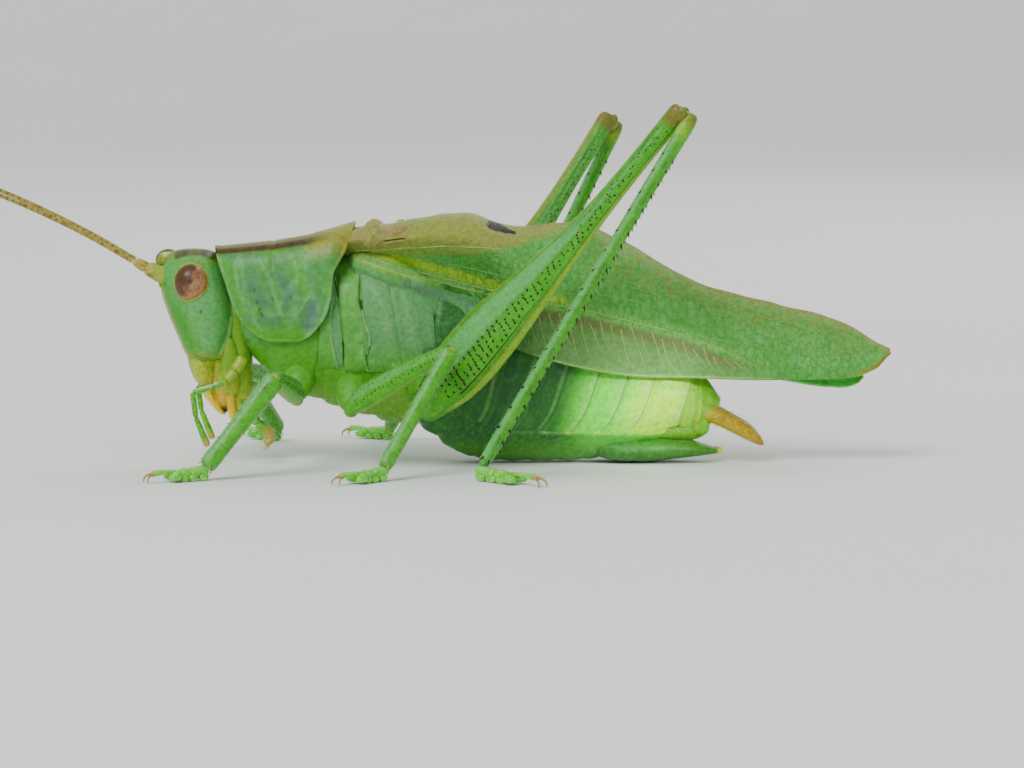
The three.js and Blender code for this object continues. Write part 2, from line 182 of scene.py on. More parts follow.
def joined(name, pieces):
    take(pieces[0])
    for piece in pieces[1:]:
        piece.select_set(True)
    if len(pieces) > 1:
        bpy.ops.object.join()
    return called(name)


def coordinates(piece):
    return triples(piece.data.vertices, "co")


def reshape(piece, co):
    piece.data.vertices.foreach_set("co", np.asarray(co, np.float32).ravel())
    piece.data.update()
    return piece


def normals(piece):
    return triples(piece.data.vertex_normals, "vector")


def points_own(piece):
    """The points as they lay on the piece's own axes, before it was bent or set in place."""
    return triples(piece.data.attributes["own"].data, "vector")


def noted(piece, name, values):
    """Keeps a place, or a number between 0 and 1, for every point; a lone number is the same for all."""
    placed = np.ndim(values) == 2
    kind, field = ("FLOAT_VECTOR", "vector") if placed else ("FLOAT", "value")
    attribute = piece.data.attributes.get(name) or piece.data.attributes.new(name, kind, "POINT")
    kept = values if placed else np.full(len(attribute.data), np.clip(values, 0, 1))
    attribute.data.foreach_set(field, np.asarray(kept, np.float32).ravel())
    return piece


def patterned(piece, **marks):
    """Notes how strong each mark of a piece's pattern is."""
    for name, values in marks.items():
        noted(piece, name, values)
    return piece


def outline(count, power=1.0, narrow=0.0):
    """A unit ring: powers under 1 square it, and narrow pinches its +X half."""
    points = []
    for i in range(count):
        angle = 2 * math.pi * i / count
        a, b = math.cos(angle), math.sin(angle)
        a = math.copysign(abs(a) ** power, a)
        b = math.copysign(abs(b) ** power, b) * (1 - narrow * max(a, 0))
        points.append((a, b))
    return points


def drawn(name, ring, stations, levels):
    """Extrudes a ring through stations: (height, half size in x and in y, shift in x and in y)."""
    piece = added(name, "circle", vertices=len(ring), radius=1, fill_type="NGON")
    for vertex, (a, b) in zip(piece.data.vertices, ring):
        vertex.co = (a, b, 0)
    stations = [tuple(station) + (0,) * (5 - len(station)) for station in stations]
    height, wide, deep, right, back = stations[0]
    bpy.ops.object.mode_set(mode="EDIT")
    bpy.ops.mesh.select_all(action="SELECT")
    bpy.ops.transform.resize(value=(wide, deep, 1), center_override=(0, 0, 0))
    bpy.ops.transform.translate(value=(right, back, height))
    for last, station in zip(stations, stations[1:]):
        step = (station[3] - last[3], station[4] - last[4], station[0] - last[0])
        bpy.ops.mesh.extrude_region_move(TRANSFORM_OT_translate={"value": step})
        middle = (station[3], station[4], station[0])
        bpy.ops.transform.resize(
            value=(station[1] / last[1], station[2] / last[2], 1), center_override=middle)
    bpy.ops.object.mode_set(mode="OBJECT")
    facing_out(piece)
    if levels:
        modified(piece, "SUBSURF", levels=levels, render_levels=levels)
    return noted(piece, "own", coordinates(piece))


def aimed(origin, axis, over, size=(1, 1, 1)):
    """The matrix that lays what is drawn along Z along an axis, with its +X towards over."""
    z = Vector(axis).normalized()
    y = z.cross(Vector(over))
    if y.length < 1e-3:
        y = z.cross(Vector((1, 0, 0.3)))
    y.normalize()
    turn = Matrix((y.cross(z), y, z)).transposed().to_4x4()
    return Matrix.Translation(origin) @ turn @ Matrix.Diagonal((*size, 1))


def placed(piece, place):
    """Moves a piece by a matrix and keeps its new place in its mesh."""
    piece.matrix_world = place
    take(piece)
    bpy.ops.object.transform_apply(location=True, rotation=True, scale=True)
    return piece


def set_at(piece, origin, axis, over):
    return placed(piece, aimed(origin, axis, over))


def bent_sheet(name, along, across, place, thickness, own=None, flip=False):
    """A grid bent by place(u, v), which gives x, y and z, and given a wall on its inner side."""
    piece = added(name, "grid", x_subdivisions=along, y_subdivisions=across, size=1)
    flat = coordinates(piece)
    u, v = flat[:, 0] + 0.5, flat[:, 1] + 0.5
    noted(piece, "own", np.stack(own(u, v) if own else [u, v, 0 * u], 1))
    reshape(piece, np.stack(place(u, v), 1))
    if flip:
        edited(piece, bpy.ops.mesh.flip_normals)
    return modified(piece, "SOLIDIFY", thickness=thickness, offset=-1)


def limb(name, start, end, over, stations, sides=16, levels=2, power=1.0):
    """A limb through stations (share, half depth, half width, shift), its depth towards over."""
    start, end = Vector(start), Vector(end)
    length = (end - start).length
    rings = [(share * length, deep, wide, *shift) for share, deep, wide, *shift in stations]
    return set_at(drawn(name, outline(sides, power), rings, levels), start, end - start, over)


def jointed(name, points, radii, over):
    """A row of limbs from point to point, each swelling a little at its far end."""
    pieces = []
    for start, end, first, last in zip(points, points[1:], radii, radii[1:]):
        stations = [(share, size, size) for share, size in (
            (-0.02, first * 0.7), (0.05, first * 0.95), (0.5, (first + last) / 2.1), (0.88, last * 1.04),
            (1, last * 0.8))]
        pieces.append(limb(name, start, end, over, stations, 12, 1))
    return joined(name, pieces)


def lengthwise(name, sides, power, stations):
    """A form along the body: (x, half height, half width, middle's height)."""
    rings = [(x, deep, wide, middle, 0) for x, deep, wide, middle in stations]
    return set_at(drawn(name, outline(sides, power), rings, 3), (0, 0, 0), BACKWARD, UP)


def ball(name, centre, radii, segments=24, rings=16):
    piece = added(name, "uv_sphere", segments=segments, ring_count=rings, radius=1)
    noted(piece, "own", coordinates(piece))
    return reshape(piece, coordinates(piece) * radii + np.array(centre))


# ------------------------------------------------------------------ relief, marks, hairs

def near(co, path, width, side=None):
    """1 on a path, falling off over a width. With a side, the path is (x, z), as seen from that side."""
    if side is not None:
        flat = co[:, [0, 2]]
        path = [point[:2] for point in path]
    else:
        flat = co
    best = np.full(len(co), 1e9)
    for start, end in zip(path, path[1:]):
        start, end = np.array(start, float), np.array(end, float)
        way = end - start
        share = np.clip(((flat - start) @ way) / (way @ way), 0, 1)
        best = np.minimum(best, np.linalg.norm(flat - start - share[:, None] * way, axis=1))
    share = np.exp(-(best / width) ** 2)
    return share if side is None else share * (co[:, 1] * side > 0)


def within(value, low, high):
    """0 below low, 1 above high and smooth between; with low above high it falls instead."""
    t = np.clip((value - low) / (high - low), 0, 1)
    return t * t * (3 - 2 * t)


def between(value, start, full, last, end):
    """Rises from start to full, and falls again from last to end."""
    return within(value, start, full) * within(value, last, end)


def peak(value, place, width):
    """1 at a place, falling off over a width on both sides of it."""
    return np.exp(-((value - place) / width) ** 2)


def raised(piece, heights, wall=False):
    """Moves each point along its normal; in a sheet with a wall the inner face goes with the outer."""
    ways = normals(piece) * heights[:, None]
    if wall:
        half = len(ways) // 2
        ways[half:] = ways[:half]
    return reshape(piece, coordinates(piece) + ways)


def linked(name, data):
    """A new object in the scene for some data."""
    piece = bpy.data.objects.new(name, data)
    bpy.context.scene.collection.objects.link(piece)
    return piece


def strands(name, paths, radii, sides=5):
    """Thin closed tubes along many paths, as one mesh; each tapers between its two radii."""
    verts, faces = [], []
    for path, (first, last) in zip(paths, radii):
        path = [Vector(point) for point in path]
        base = len(verts)
        for i, point in enumerate(path):
            way = (path[min(i + 1, len(path) - 1)] - path[max(i - 1, 0)]).normalized()
            beside = way.cross(UP if abs(way.dot(UP)) < 0.95 else BACKWARD).normalized()
            above = beside.cross(way)
            radius = first + (last - first) * i / (len(path) - 1)
            for j in range(sides):
                angle = 2 * math.pi * j / sides
                verts.append(point + radius * (math.cos(angle) * beside + math.sin(angle) * above))
                if i:
                    a, b = base + (i - 1) * sides + j, base + (i - 1) * sides + (j + 1) % sides
                    faces.append((a, b, b + sides, a + sides))
        faces.append([base + j for j in reversed(range(sides))])
        faces.append([base + (len(path) - 1) * sides + j for j in range(sides)])
    return facing_out(new_mesh(name, verts, faces))


def new_mesh(name, verts, faces):
    mesh = bpy.data.meshes.new(name)
    mesh.from_pydata(verts, [], faces)
    return linked(name, mesh)


def copied(name, source, places):
    """One mesh of many copies of a small source, which goes away; places are matrices."""
    co = np.c_[coordinates(source), np.ones(len(source.data.vertices))]
    polygons = [polygon.vertices[:] for polygon in source.data.polygons]
    stack = np.concatenate([co @ np.array(place).T[:, :3] for place in places])
    faces = [[v + k * len(co) for v in polygon] for k in range(len(places)) for polygon in polygons]
    bpy.data.objects.remove(source)
    return new_mesh(name, stack.tolist(), faces)


def scattered(piece, count, keep):
    """Seeded random points on a piece and the ways its skin faces there."""
    mesh = piece.data
    co = coordinates(piece)
    mesh.calc_loop_triangles()
    triangles = np.empty(len(mesh.loop_triangles) * 3, np.int32)
    mesh.loop_triangles.foreach_get("vertices", triangles)
    a, b, c = co[triangles[::3]], co[triangles[1::3]], co[triangles[2::3]]
    cross = np.cross(b - a, c - a)
    area = np.linalg.norm(cross, axis=1)
    pick = rng.choice(len(area), size=count, p=area / area.sum())
    r, s = rng.random(count), rng.random(count)
    flip = r + s > 1
    r[flip], s[flip] = 1 - r[flip], 1 - s[flip]
    place = a[pick] + (b - a)[pick] * r[:, None] + (c - a)[pick] * s[:, None]
    out = cross[pick] / area[pick][:, None]
    if keep is not None:
        kept = keep(place, out)
        place, out = place[kept], out[kept]
    return place, out


def hairs(name, piece, count, length, lean, radius, keep=None):
    """Fine closed hairs on a piece, leaning towards a way."""
    roots, out = scattered(piece, count, keep)
    spike = added("spike", "cone", vertices=3, radius1=1, radius2=0, depth=1, location=(0, 0, 0.5))
    bpy.ops.object.transform_apply(location=True)
    places = []
    for root, way in zip(roots, out):
        way = Vector(way) + Vector(lean) + Vector(rng.normal(0, 0.25, 3))
        reach = length * rng.uniform(0.6, 1.2)
        places.append(aimed(Vector(root) - 0.01 * way.normalized(), way, UP, (radius, radius, reach)))
    return copied(name, spike, places)


def shown(piece, slot, finish, *nodes, angle=50):
    """Brings a finished piece into the frame, in its finish, to stand for some CAD nodes."""
    take(piece)
    bpy.ops.object.shade_smooth_by_angle(angle=math.radians(angle))
    placed(piece, HERE)
    piece.data.materials.clear()
    piece.data.materials.append(finish)
    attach(piece, "root")
    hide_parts(*nodes)
    return piece


# ------------------------------------------------------------------ finishes

def pigment(colour):
    """A colour laid on stronger, because white light and its gloss wash it out."""
    peak = max(colour)
    red, green, blue = (peak * (value / peak) ** 1.25 for value in colour)
    return min(red * 1.02, 1), min(green * 1.1, 1), blue * 0.95


class Finish:
    """A shell or skin finish, built up node by node. Sizes in its patterns are in millimetres."""

    def __init__(self, name, roughness=0.4, soft=0.12, **settings):
        self.material = bpy.data.materials.new(name)
        self.material.use_nodes = True
        self.tree = self.material.node_tree
        self.shader = self.tree.nodes["Principled BSDF"]
        self.place = self.node("ShaderNodeTexCoord").outputs["Object"]
        self.set("Roughness", roughness)
        self.set("Subsurface Weight", soft)
        self.set("Subsurface Radius", (0.6, 1.0, 0.35))
        self.set("Subsurface Scale", 0.0004)
        self.set("Specular IOR Level", 0.2)
        for key, value in settings.items():
            self.set(key.replace("_", " ").title(), value)

    def node(self, kind, **settings):
        node = self.tree.nodes.new(kind)
        for key, value in settings.items():
            setattr(node, key, value)
        return node

    def feed(self, socket, value):
        if isinstance(value, bpy.types.NodeSocket):
            self.tree.links.new(value, socket)
        elif isinstance(value, tuple) and len(value) == 3 and socket.type == "RGBA":
            socket.default_value = (*pigment(value), 1)
        else:
            socket.default_value = value

    def set(self, name, value):
        self.feed(self.shader.inputs[name], value)

    def mark(self, name):
        """A number noted on the piece."""
        return self.node("ShaderNodeAttribute", attribute_name=name).outputs["Fac"]

    def own(self, stretch=(1, 1, 1)):
        """The piece's own axes, in millimetres."""
        found = self.node("ShaderNodeAttribute", attribute_name="own").outputs["Vector"]
        mapping = self.node("ShaderNodeMapping")
        self.feed(mapping.inputs["Vector"], found)
        mapping.inputs["Scale"].default_value = stretch
        return mapping.outputs["Vector"]

    def noise(self, size, detail=3.0, where=None, distortion=0.0):
        """Cloudy noise with blotches of a size."""
        node = self.node("ShaderNodeTexNoise")
        self.feed(node.inputs["Vector"], where or self.place)
        node.inputs["Scale"].default_value = 1 / size if where else 1000 / size
        node.inputs["Detail"].default_value = detail
        node.inputs["Distortion"].default_value = distortion
        return node.outputs["Fac"]

    def cells(self, size, where=None, feature="DISTANCE_TO_EDGE", spread=1.0):
        node = self.node("ShaderNodeTexVoronoi", feature=feature)
        self.feed(node.inputs["Vector"], where or self.place)
        node.inputs["Scale"].default_value = 1 / size if where else 1000 / size
        node.inputs["Randomness"].default_value = spread
        return node.outputs["Distance"]

    def dots(self, size, low, high):
        """Scattered dots of one size of cell."""
        return self.step(self.cells(size, feature="F1"), low, high)

    def step(self, value, low, high):
        """0 under low and 1 over high, or the other way round where low is the higher."""
        node = self.node("ShaderNodeMapRange", interpolation_type="SMOOTHSTEP")
        self.feed(node.inputs["Value"], value)
        node.inputs["From Min"].default_value = min(low, high)
        node.inputs["From Max"].default_value = max(low, high)
        node.inputs["To Min"].default_value = 0 if low < high else 1
        node.inputs["To Max"].default_value = 1 if low < high else 0
        return node.outputs["Result"]

    def times(self, first, second):
        node = self.node("ShaderNodeMath", operation="MULTIPLY")
        self.feed(node.inputs[0], first)
        self.feed(node.inputs[1], second)
        return node.outputs["Value"]

    def dull(self, low, high, size=0.6):
        """Roughness that wanders between two values."""
        node = self.node("ShaderNodeMapRange")
        self.feed(node.inputs["Value"], self.noise(size, 4))
        node.inputs["To Min"].default_value = low
        node.inputs["To Max"].default_value = high
        self.set("Roughness", node.outputs["Result"])

    def lay(self, colour, share, strength=None):
        """Lays a colour over the finish where the share says, weakened by a strength."""
        if strength is not None:
            share = self.times(share, strength)
        node = self.node("ShaderNodeMix", data_type="RGBA")
        self.feed(node.inputs["Factor"], share)
        self.feed(node.inputs["A"], self.colour)
        self.feed(node.inputs["B"], colour)
        self.colour = node.outputs["Result"]

    def mottled(self, base, dark, light, size):
        """A base colour with broad darker and finer lighter clouds."""
        self.colour = base
        self.lay(dark, self.step(self.noise(size), 0.42, 0.68))
        self.lay(light, self.step(self.noise(size * 0.35, 4), 0.5, 0.75))

    def marked(self, **marks):
        """Lays on the colour of each of the piece's marks."""
        for name, colour in marks.items():
            self.lay(colour, self.mark(name))

    def relief(self, height, depth, under=None):
        """A bump whose height 0..1 stands for a depth."""
        node = self.node("ShaderNodeBump")
        node.inputs["Strength"].default_value = 1
        node.inputs["Distance"].default_value = depth * MM
        self.feed(node.inputs["Height"], height)
        if under:
            self.feed(node.inputs["Normal"], under)
        return node.outputs["Normal"]

    def grained(self, size):
        """Gives the surface its colour, with a fine grain of darker and lighter points."""
        tone = self.node("ShaderNodeMapRange")
        self.feed(tone.inputs["Value"], self.noise(size, 5))
        tone.inputs["From Min"].default_value = 0.25
        tone.inputs["From Max"].default_value = 0.75
        tone.inputs["To Min"].default_value = 0.74
        tone.inputs["To Max"].default_value = 1.22
        node = self.node("ShaderNodeMix", data_type="RGBA", blend_type="MULTIPLY")
        node.inputs["Factor"].default_value = 1
        self.feed(node.inputs["A"], self.colour)
        self.feed(node.inputs["B"], tone.outputs["Result"])
        self.set("Base Color", node.outputs["Result"])

    def shell(self, depth=0.02, grain=0.09, rough=(0.32, 0.5)):
        """Colours the surface and gives it the fine grain of a shell, with duller and glossier places."""
        self.grained(grain * 1.6)
        self.dull(*rough)
        coarse = self.relief(self.noise(grain * 6, 3), depth * 1.6)
        self.set("Normal", self.relief(self.noise(grain, 2), depth, coarse))
        return self.material


DEEP_GREEN = (0.055, 0.22, 0.025)
NET_GREEN = (0.08, 0.28, 0.055)
BROWN = (0.045, 0.022, 0.008)
BLACK = (0.006, 0.005, 0.004)
GREY_BLUE = (0.10, 0.17, 0.15)


def head_finish():
    finish = Finish("green_head", coat_weight=0.2, coat_roughness=0.35)
    finish.mottled((0.105, 0.345, 0.085), (0.07, 0.28, 0.04), (0.16, 0.41, 0.15), 1.3)
    finish.lay((0.16, 0.39, 0.14), finish.dots(0.11, 0.1, 0.45), 0.35)
    finish.lay(DEEP_GREEN, finish.dots(0.42, 0.075, 0.045), 0.5)
    # grey is the cheek's bluish sheen, painted as colour
    finish.marked(
        bright=(0.055, 0.27, 0.008), grey=(0.13, 0.34, 0.155), pale=(0.30, 0.54, 0.22),
        tan=(0.20, 0.22, 0.045), yellow=(0.33, 0.34, 0.04), dark=BROWN)
    return finish.shell(0.012)


def knob_finish():
    finish = Finish("clear_knob", coat_weight=0.3, coat_roughness=0.08, soft=0.3)
    finish.mottled((0.26, 0.27, 0.05), (0.17, 0.17, 0.02), (0.42, 0.42, 0.14), 0.3)
    # pale: a painted highlight
    finish.marked(pale=(0.62, 0.64, 0.42), dark=BROWN)
    return finish.shell(0.004, rough=(0.12, 0.22))


def eye_finish():
    finish = Finish("red_brown_eye", coat_weight=0.1, coat_roughness=0.08, soft=0.15)
    finish.mottled((0.36, 0.20, 0.13), (0.22, 0.105, 0.065), (0.46, 0.29, 0.21), 0.3)
    finish.marked(pink=(0.50, 0.27, 0.15), top=(0.085, 0.045, 0.022))
    finish.lay((0.10, 0.05, 0.03), finish.step(finish.noise(0.16, 4), 0.5, 0.66), 0.45)
    finish.marked(pupil=(0.03, 0.025, 0.03))
    facets = finish.cells(0.05, feature="F1", spread=0.9)
    finish.lay((0.13, 0.06, 0.035), finish.step(facets, 0.35, 0.7), 0.35)
    finish.set("Base Color", finish.colour)
    finish.set("Normal", finish.relief(finish.step(facets, 0.65, 0.0), 0.003))
    finish.dull(0.1, 0.24, 0.3)
    return finish.material


def feeler_finish():
    finish = Finish("tan_feeler", soft=0.2)
    finish.mottled((0.40, 0.33, 0.10), (0.26, 0.17, 0.05), (0.5, 0.46, 0.17), 0.35)
    finish.marked(green=(0.34, 0.42, 0.07), ring=(0.10, 0.05, 0.02))
    finish.lay((0.13, 0.06, 0.02), finish.dots(0.14, 0.22, 0.12), finish.mark("speckled"))
    return finish.shell(0.006, 0.05, (0.4, 0.6))


def mouth_finish():
    finish = Finish("yellow_mouth", soft=0.3, coat_weight=0.15, coat_roughness=0.3)
    finish.mottled((0.42, 0.46, 0.04), (0.27, 0.34, 0.02), (0.60, 0.58, 0.09), 0.55)
    finish.lay(
        (0.36, 0.24, 0.05), finish.step(finish.noise(0.16, 3, finish.own((1, 1, 0.25))), 0.55, 0.72), 0.4)
    finish.marked(green=(0.16, 0.33, 0.02), pink=(0.48, 0.33, 0.10), yellow=(0.95, 0.64, 0.03), dark=BROWN)
    return finish.shell(0.01, 0.07)


def palp_finish():
    finish = Finish("green_palp", soft=0.3, coat_weight=0.4, coat_roughness=0.2)
    finish.mottled((0.13, 0.40, 0.02), (0.07, 0.27, 0.012), (0.27, 0.54, 0.08), 0.3)
    # pale is the short palp's pale tip, and a painted glint on the long palp
    finish.marked(yellow=(0.40, 0.44, 0.05), tan=(0.55, 0.33, 0.11), pale=(0.72, 0.70, 0.55))
    return finish.shell(0.008, 0.06)


def pronotum_finish():
    finish = Finish("green_pronotum", soft=0.25, coat_weight=0.2, coat_roughness=0.35)
    finish.mottled((0.088, 0.27, 0.078), (0.078, 0.20, 0.10), (0.11, 0.34, 0.035), 1.5)
    finish.lay((0.20, 0.42, 0.19), finish.step(finish.cells(0.75, finish.own()), 0.05, 0.0), 0.35)
    finish.marked(
        green=(0.10, 0.34, 0.02), pale=(0.26, 0.48, 0.26), grey=GREY_BLUE, tan=(0.28, 0.27, 0.06),
        olive=(0.15, 0.13, 0.012), yellow=(0.34, 0.31, 0.06), dark=BROWN)
    finish.lay((0.03, 0.07, 0.02), finish.dots(0.33, 0.1, 0.06), 0.7)
    return finish.shell(0.02, 0.12)


def thorax_finish():
    finish = Finish("green_thorax", soft=0.2, coat_weight=0.12, coat_roughness=0.4)
    finish.mottled((0.115, 0.34, 0.065), (0.095, 0.26, 0.08), (0.19, 0.42, 0.14), 0.9)
    finish.marked(
        green=(0.10, 0.33, 0.02), yellow=(0.16, 0.33, 0.03), grey=(0.12, 0.28, 0.13),
        pale=(0.30, 0.52, 0.26), dark=BROWN)
    return finish.shell(0.02, 0.1)


def abdomen_finish():
    finish = Finish("green_abdomen", soft=0.3, coat_weight=0.15, coat_roughness=0.35)
    # The dark base is partly painted shade over the front rings; bright is painted sunlight shining through
    # the rear rings, and lime is partly their own yellow-green, partly painted sunlight
    finish.mottled((0.03, 0.13, 0.032), (0.026, 0.105, 0.038), (0.052, 0.18, 0.052), 1.2)
    finish.marked(bright=(0.20, 0.82, 0.07), lime=(0.52, 0.92, 0.02), olive=(0.20, 0.47, 0.01))
    finish.lay(
        (0.16, 0.44, 0.10), finish.step(finish.noise(0.16, 3, finish.own((1, 0.12, 1))), 0.45, 0.7), 0.25)
    finish.lay(DEEP_GREEN, finish.dots(0.5, 0.05, 0.03), 0.6)
    finish.marked(pale=(0.42, 0.66, 0.26), yellow=(0.62, 0.60, 0.08), dark=(0.06, 0.16, 0.02))
    return finish.shell(0.018, 0.1)


def cercus_finish():
    finish = Finish("orange_cercus", soft=0.3, coat_weight=0.3, coat_roughness=0.3)
    finish.mottled((0.50, 0.34, 0.015), (0.38, 0.23, 0.01), (0.60, 0.46, 0.05), 0.4)
    finish.marked(tip=(0.40, 0.20, 0.02), green=(0.40, 0.45, 0.05))
    return finish.shell(0.012, 0.07)


def wing_finish():
    finish = Finish("green_wing", soft=0.3)
    net = finish.step(finish.cells(0.34, finish.own((1.35, 1, 1))), 0.12, 0.0)
    ladder = finish.step(finish.cells(0.28, finish.own((1, 0.3, 1)), spread=0.7), 0.17, 0.0)
    fine = finish.step(finish.cells(0.14, finish.own((1.2, 1, 1))), 0.14, 0.0)
    finish.mottled((0.145, 0.39, 0.12), (0.12, 0.33, 0.09), (0.18, 0.43, 0.17), 1.4)
    # grey holds a painted shadow below the main vein and, at the front, the body's colour painted as if seen
    # through the wing
    finish.marked(
        grey=(0.10, 0.17, 0.13), brown=(0.16, 0.165, 0.08), stripe=(0.46, 0.60, 0.03),
        tan=(0.30, 0.285, 0.075), vein=(0.24, 0.46, 0.14))
    finish.lay(NET_GREEN, net, finish.mark("netted"))
    finish.lay(NET_GREEN, ladder, finish.mark("ladder"))
    finish.lay(NET_GREEN, fine, 0.25)
    finish.lay(
        (0.27, 0.24, 0.07),
        finish.times(finish.step(finish.noise(0.15, 3), 0.46, 0.6), finish.mark("rusty")), 0.65)
    finish.lay((0.38, 0.34, 0.12), net, finish.mark("netted_tan"))
    # dark: the black mark, and a painted shadow line in the crease below the hinge
    finish.marked(edge=(0.26, 0.20, 0.03), pink=(0.36, 0.25, 0.14), dark=BLACK)
    finish.grained(0.16)
    finish.dull(0.4, 0.6)
    cell = finish.relief(net, 0.012, finish.relief(finish.times(ladder, finish.mark("ladder")), 0.02))
    finish.set("Normal", finish.relief(fine, 0.006, cell))
    return finish.material


def vein_finish(name, colour, dark, light):
    finish = Finish(name, soft=0.2)
    finish.mottled(colour, dark, light, 0.8)
    return finish.shell(0.006, 0.05, (0.35, 0.5))


def hindwing_finish():
    finish = Finish("green_hind_blade", soft=0.4)
    # the blade is coloured lighter than the forewing: painted light, as it lies in the forewing's shade
    finish.mottled((0.22, 0.62, 0.24), (0.18, 0.54, 0.20), (0.28, 0.70, 0.30), 0.9)
    lines = finish.step(finish.cells(0.3, finish.own((0.25, 1.6, 1))), 0.12, 0.0)
    finish.lay((0.10, 0.34, 0.11), lines, 0.4)
    finish.set("Normal", finish.relief(lines, 0.006))
    finish.marked(edge=(0.24, 0.26, 0.06))
    finish.set("Base Color", finish.colour)
    finish.dull(0.35, 0.5)
    return finish.material


def leg_finish(name, base, dark, light):
    finish = Finish(name, soft=0.25, coat_weight=0.15, coat_roughness=0.25)
    finish.mottled(base, dark, light, 0.9)
    finish.marked(pale=(0.135, 0.39, 0.14), lime=(0.33, 0.47, 0.03), bright=(0.085, 0.37, 0.01))
    finish.lay(
        (0.20, 0.46, 0.12), finish.step(finish.noise(0.1, 2, finish.own((1, 1, 0.1))), 0.5, 0.75), 0.3)
    finish.lay((0.06, 0.045, 0.012), finish.dots(0.34, 0.1, 0.07), finish.mark("speckled"))
    finish.marked(
        crest=(0.34, 0.48, 0.10), tan=(0.28, 0.26, 0.05), knee=(0.19, 0.15, 0.035), plum=(0.20, 0.11, 0.07),
        dark=BROWN)
    return finish.shell(0.01, 0.08, (0.28, 0.44))


def foot_finish():
    """Wet-looking bright green, with pale pads."""
    finish = Finish("bright_foot", soft=0.35, coat_weight=0.7, coat_roughness=0.1)
    finish.mottled((0.20, 0.64, 0.05), (0.12, 0.46, 0.03), (0.42, 0.80, 0.18), 0.35)
    finish.marked(pale=(0.42, 0.66, 0.26), knee=(0.46, 0.30, 0.08))
    return finish.shell(0.012, 0.06, (0.14, 0.3))


def plain_finish(name, base, dark, light, **settings):
    finish = Finish(name, **settings)
    finish.mottled(base, dark, light, 0.2)
    return finish.shell(0.004, 0.04)


# ------------------------------------------------------------------ head

# height, front, rear and half width of the head from the cheeks to the crown
HEAD = [
    (3.70, 1.00, 2.15, 0.98),
    (3.88, 0.86, 2.33, 1.18),
    (4.55, 0.56, 2.60, 1.38),
    (5.40, 0.20, 2.70, 1.48),
    (6.30, -0.06, 2.52, 1.46),
    (6.85, -0.05, 2.34, 1.34),
    (7.30, 0.05, 2.18, 1.12),
    (7.55, 0.18, 2.05, 0.86),
    (7.70, 0.34, 1.90, 0.56),
    (7.76, 0.62, 1.62, 0.16),
]
# the cheek's rear margin and the seam before it, seen from the side
CHEEK_MARGIN = [(2.5, 6.2), (2.58, 5.4), (2.44, 4.6), (2.12, 3.85)]
CHEEK_SEAM = [(2.48, 6.2), (2.54, 5.5), (2.38, 4.7), (2.08, 4.0)]


def eye_middle(side):
    low, high = corners(f"eye_{side}")
    return (low + high) / 2, (high - low) / 2


def head_shell():
    size = smooth_between(HEAD)
    rings = []
    for z in np.linspace(HEAD[0][0], HEAD[-1][0], 22):
        front, rear, width = size(z)
        rings.append((z, (rear - front) / 2, width, -(front + rear) / 2))
    head = set_at(drawn("head_shell", outline(36, 0.92, 0.22), rings, 2), (0, 0, 0), UP, FORWARD)
    co = coordinates(head)
    height = np.zeros(len(co))
    for sign in SIDES.values():
        socket = np.hypot(co[:, 1] - 0.42 * sign, co[:, 2] - 6.72)
        height += 0.07 * peak(socket, 0.33, 0.08) * (co[:, 0] < 0.6)
        height -= 0.12 * within(socket, 0.3, 0.2) * (co[:, 0] < 0.6)
        height -= 0.02 * near(co, [(1.0, 5.75), (0.95, 5.0), (1.2, 4.2)], 0.09, sign)
        height -= 0.03 * near(co, CHEEK_SEAM, 0.05, sign)
        height += 0.035 * near(co, CHEEK_MARGIN, 0.06, sign)
    height -= 0.03 * within(np.abs(co[:, 1]), 0.09, 0.03) * (co[:, 0] < 0.9) * within(co[:, 2], 6.5, 6.9)
    raised(head, height)
    return marked_head(head, co)


def marked_head(head, co):
    x, y, z = co.T
    dark = 0.95 * between(np.abs(y), 0.18, 0.3, 0.88, 0.72) * within(z, 7.3, 7.42) * within(x, 0.4, 0.6)
    dark *= 0.8 + 0.2 * np.sin(x * 13) * np.sin(x * 5.1)
    tan = within(z, 7.2, 7.45) * within(np.abs(y), 0.9, 0.5) * 0.8
    pale, grey = np.zeros(len(co)), np.zeros(len(co))
    for side, sign in SIDES.items():
        middle, radii = eye_middle(side)
        flat = np.hypot((x - middle.x) / radii.x, (z - middle.z) / radii.z)
        flat = np.where(y * sign > 0, flat, 9)
        # grey: painted sheen, a bluish grey round the eye and down the cheek
        grey += (
            0.5 * peak(flat, 1.25, 0.25) + 0.35 * near(co, [(1.7, 5.9), (1.6, 5.0), (1.9, 4.5)], 0.4, sign))
        dark += 0.8 * near(co, [(1.47, 5.53), (1.5, 5.58)], 0.045, sign)
        dark += (
            0.45 * near(co, [(0.85, 4.05), (1.3, 3.93), (1.8, 3.8)], 0.05, sign)
            * (rng.random(len(co)) * 0.5 + 0.5))
        pale += 0.95 * near(co, CHEEK_MARGIN, 0.06, sign)
        tan += 0.5 * near(co, [(0.62, 7.28), (1.2, 7.38), (1.75, 7.2)], 0.09, sign)
    front = smooth_between([(z, front) for z, front, _, _ in HEAD])(z)[0]
    bright = within(x - front, 1.0, 0.45) * within(z, 7.0, 6.4) * 0.95
    yellow = 0.75 * within(x - front, 0.22, 0.07) * within(z, 7.0, 6.5) + 0.5 * within(z, 4.3, 3.85)
    return patterned(head, dark=dark, tan=tan, pale=pale, yellow=yellow, bright=bright, grey=grey)


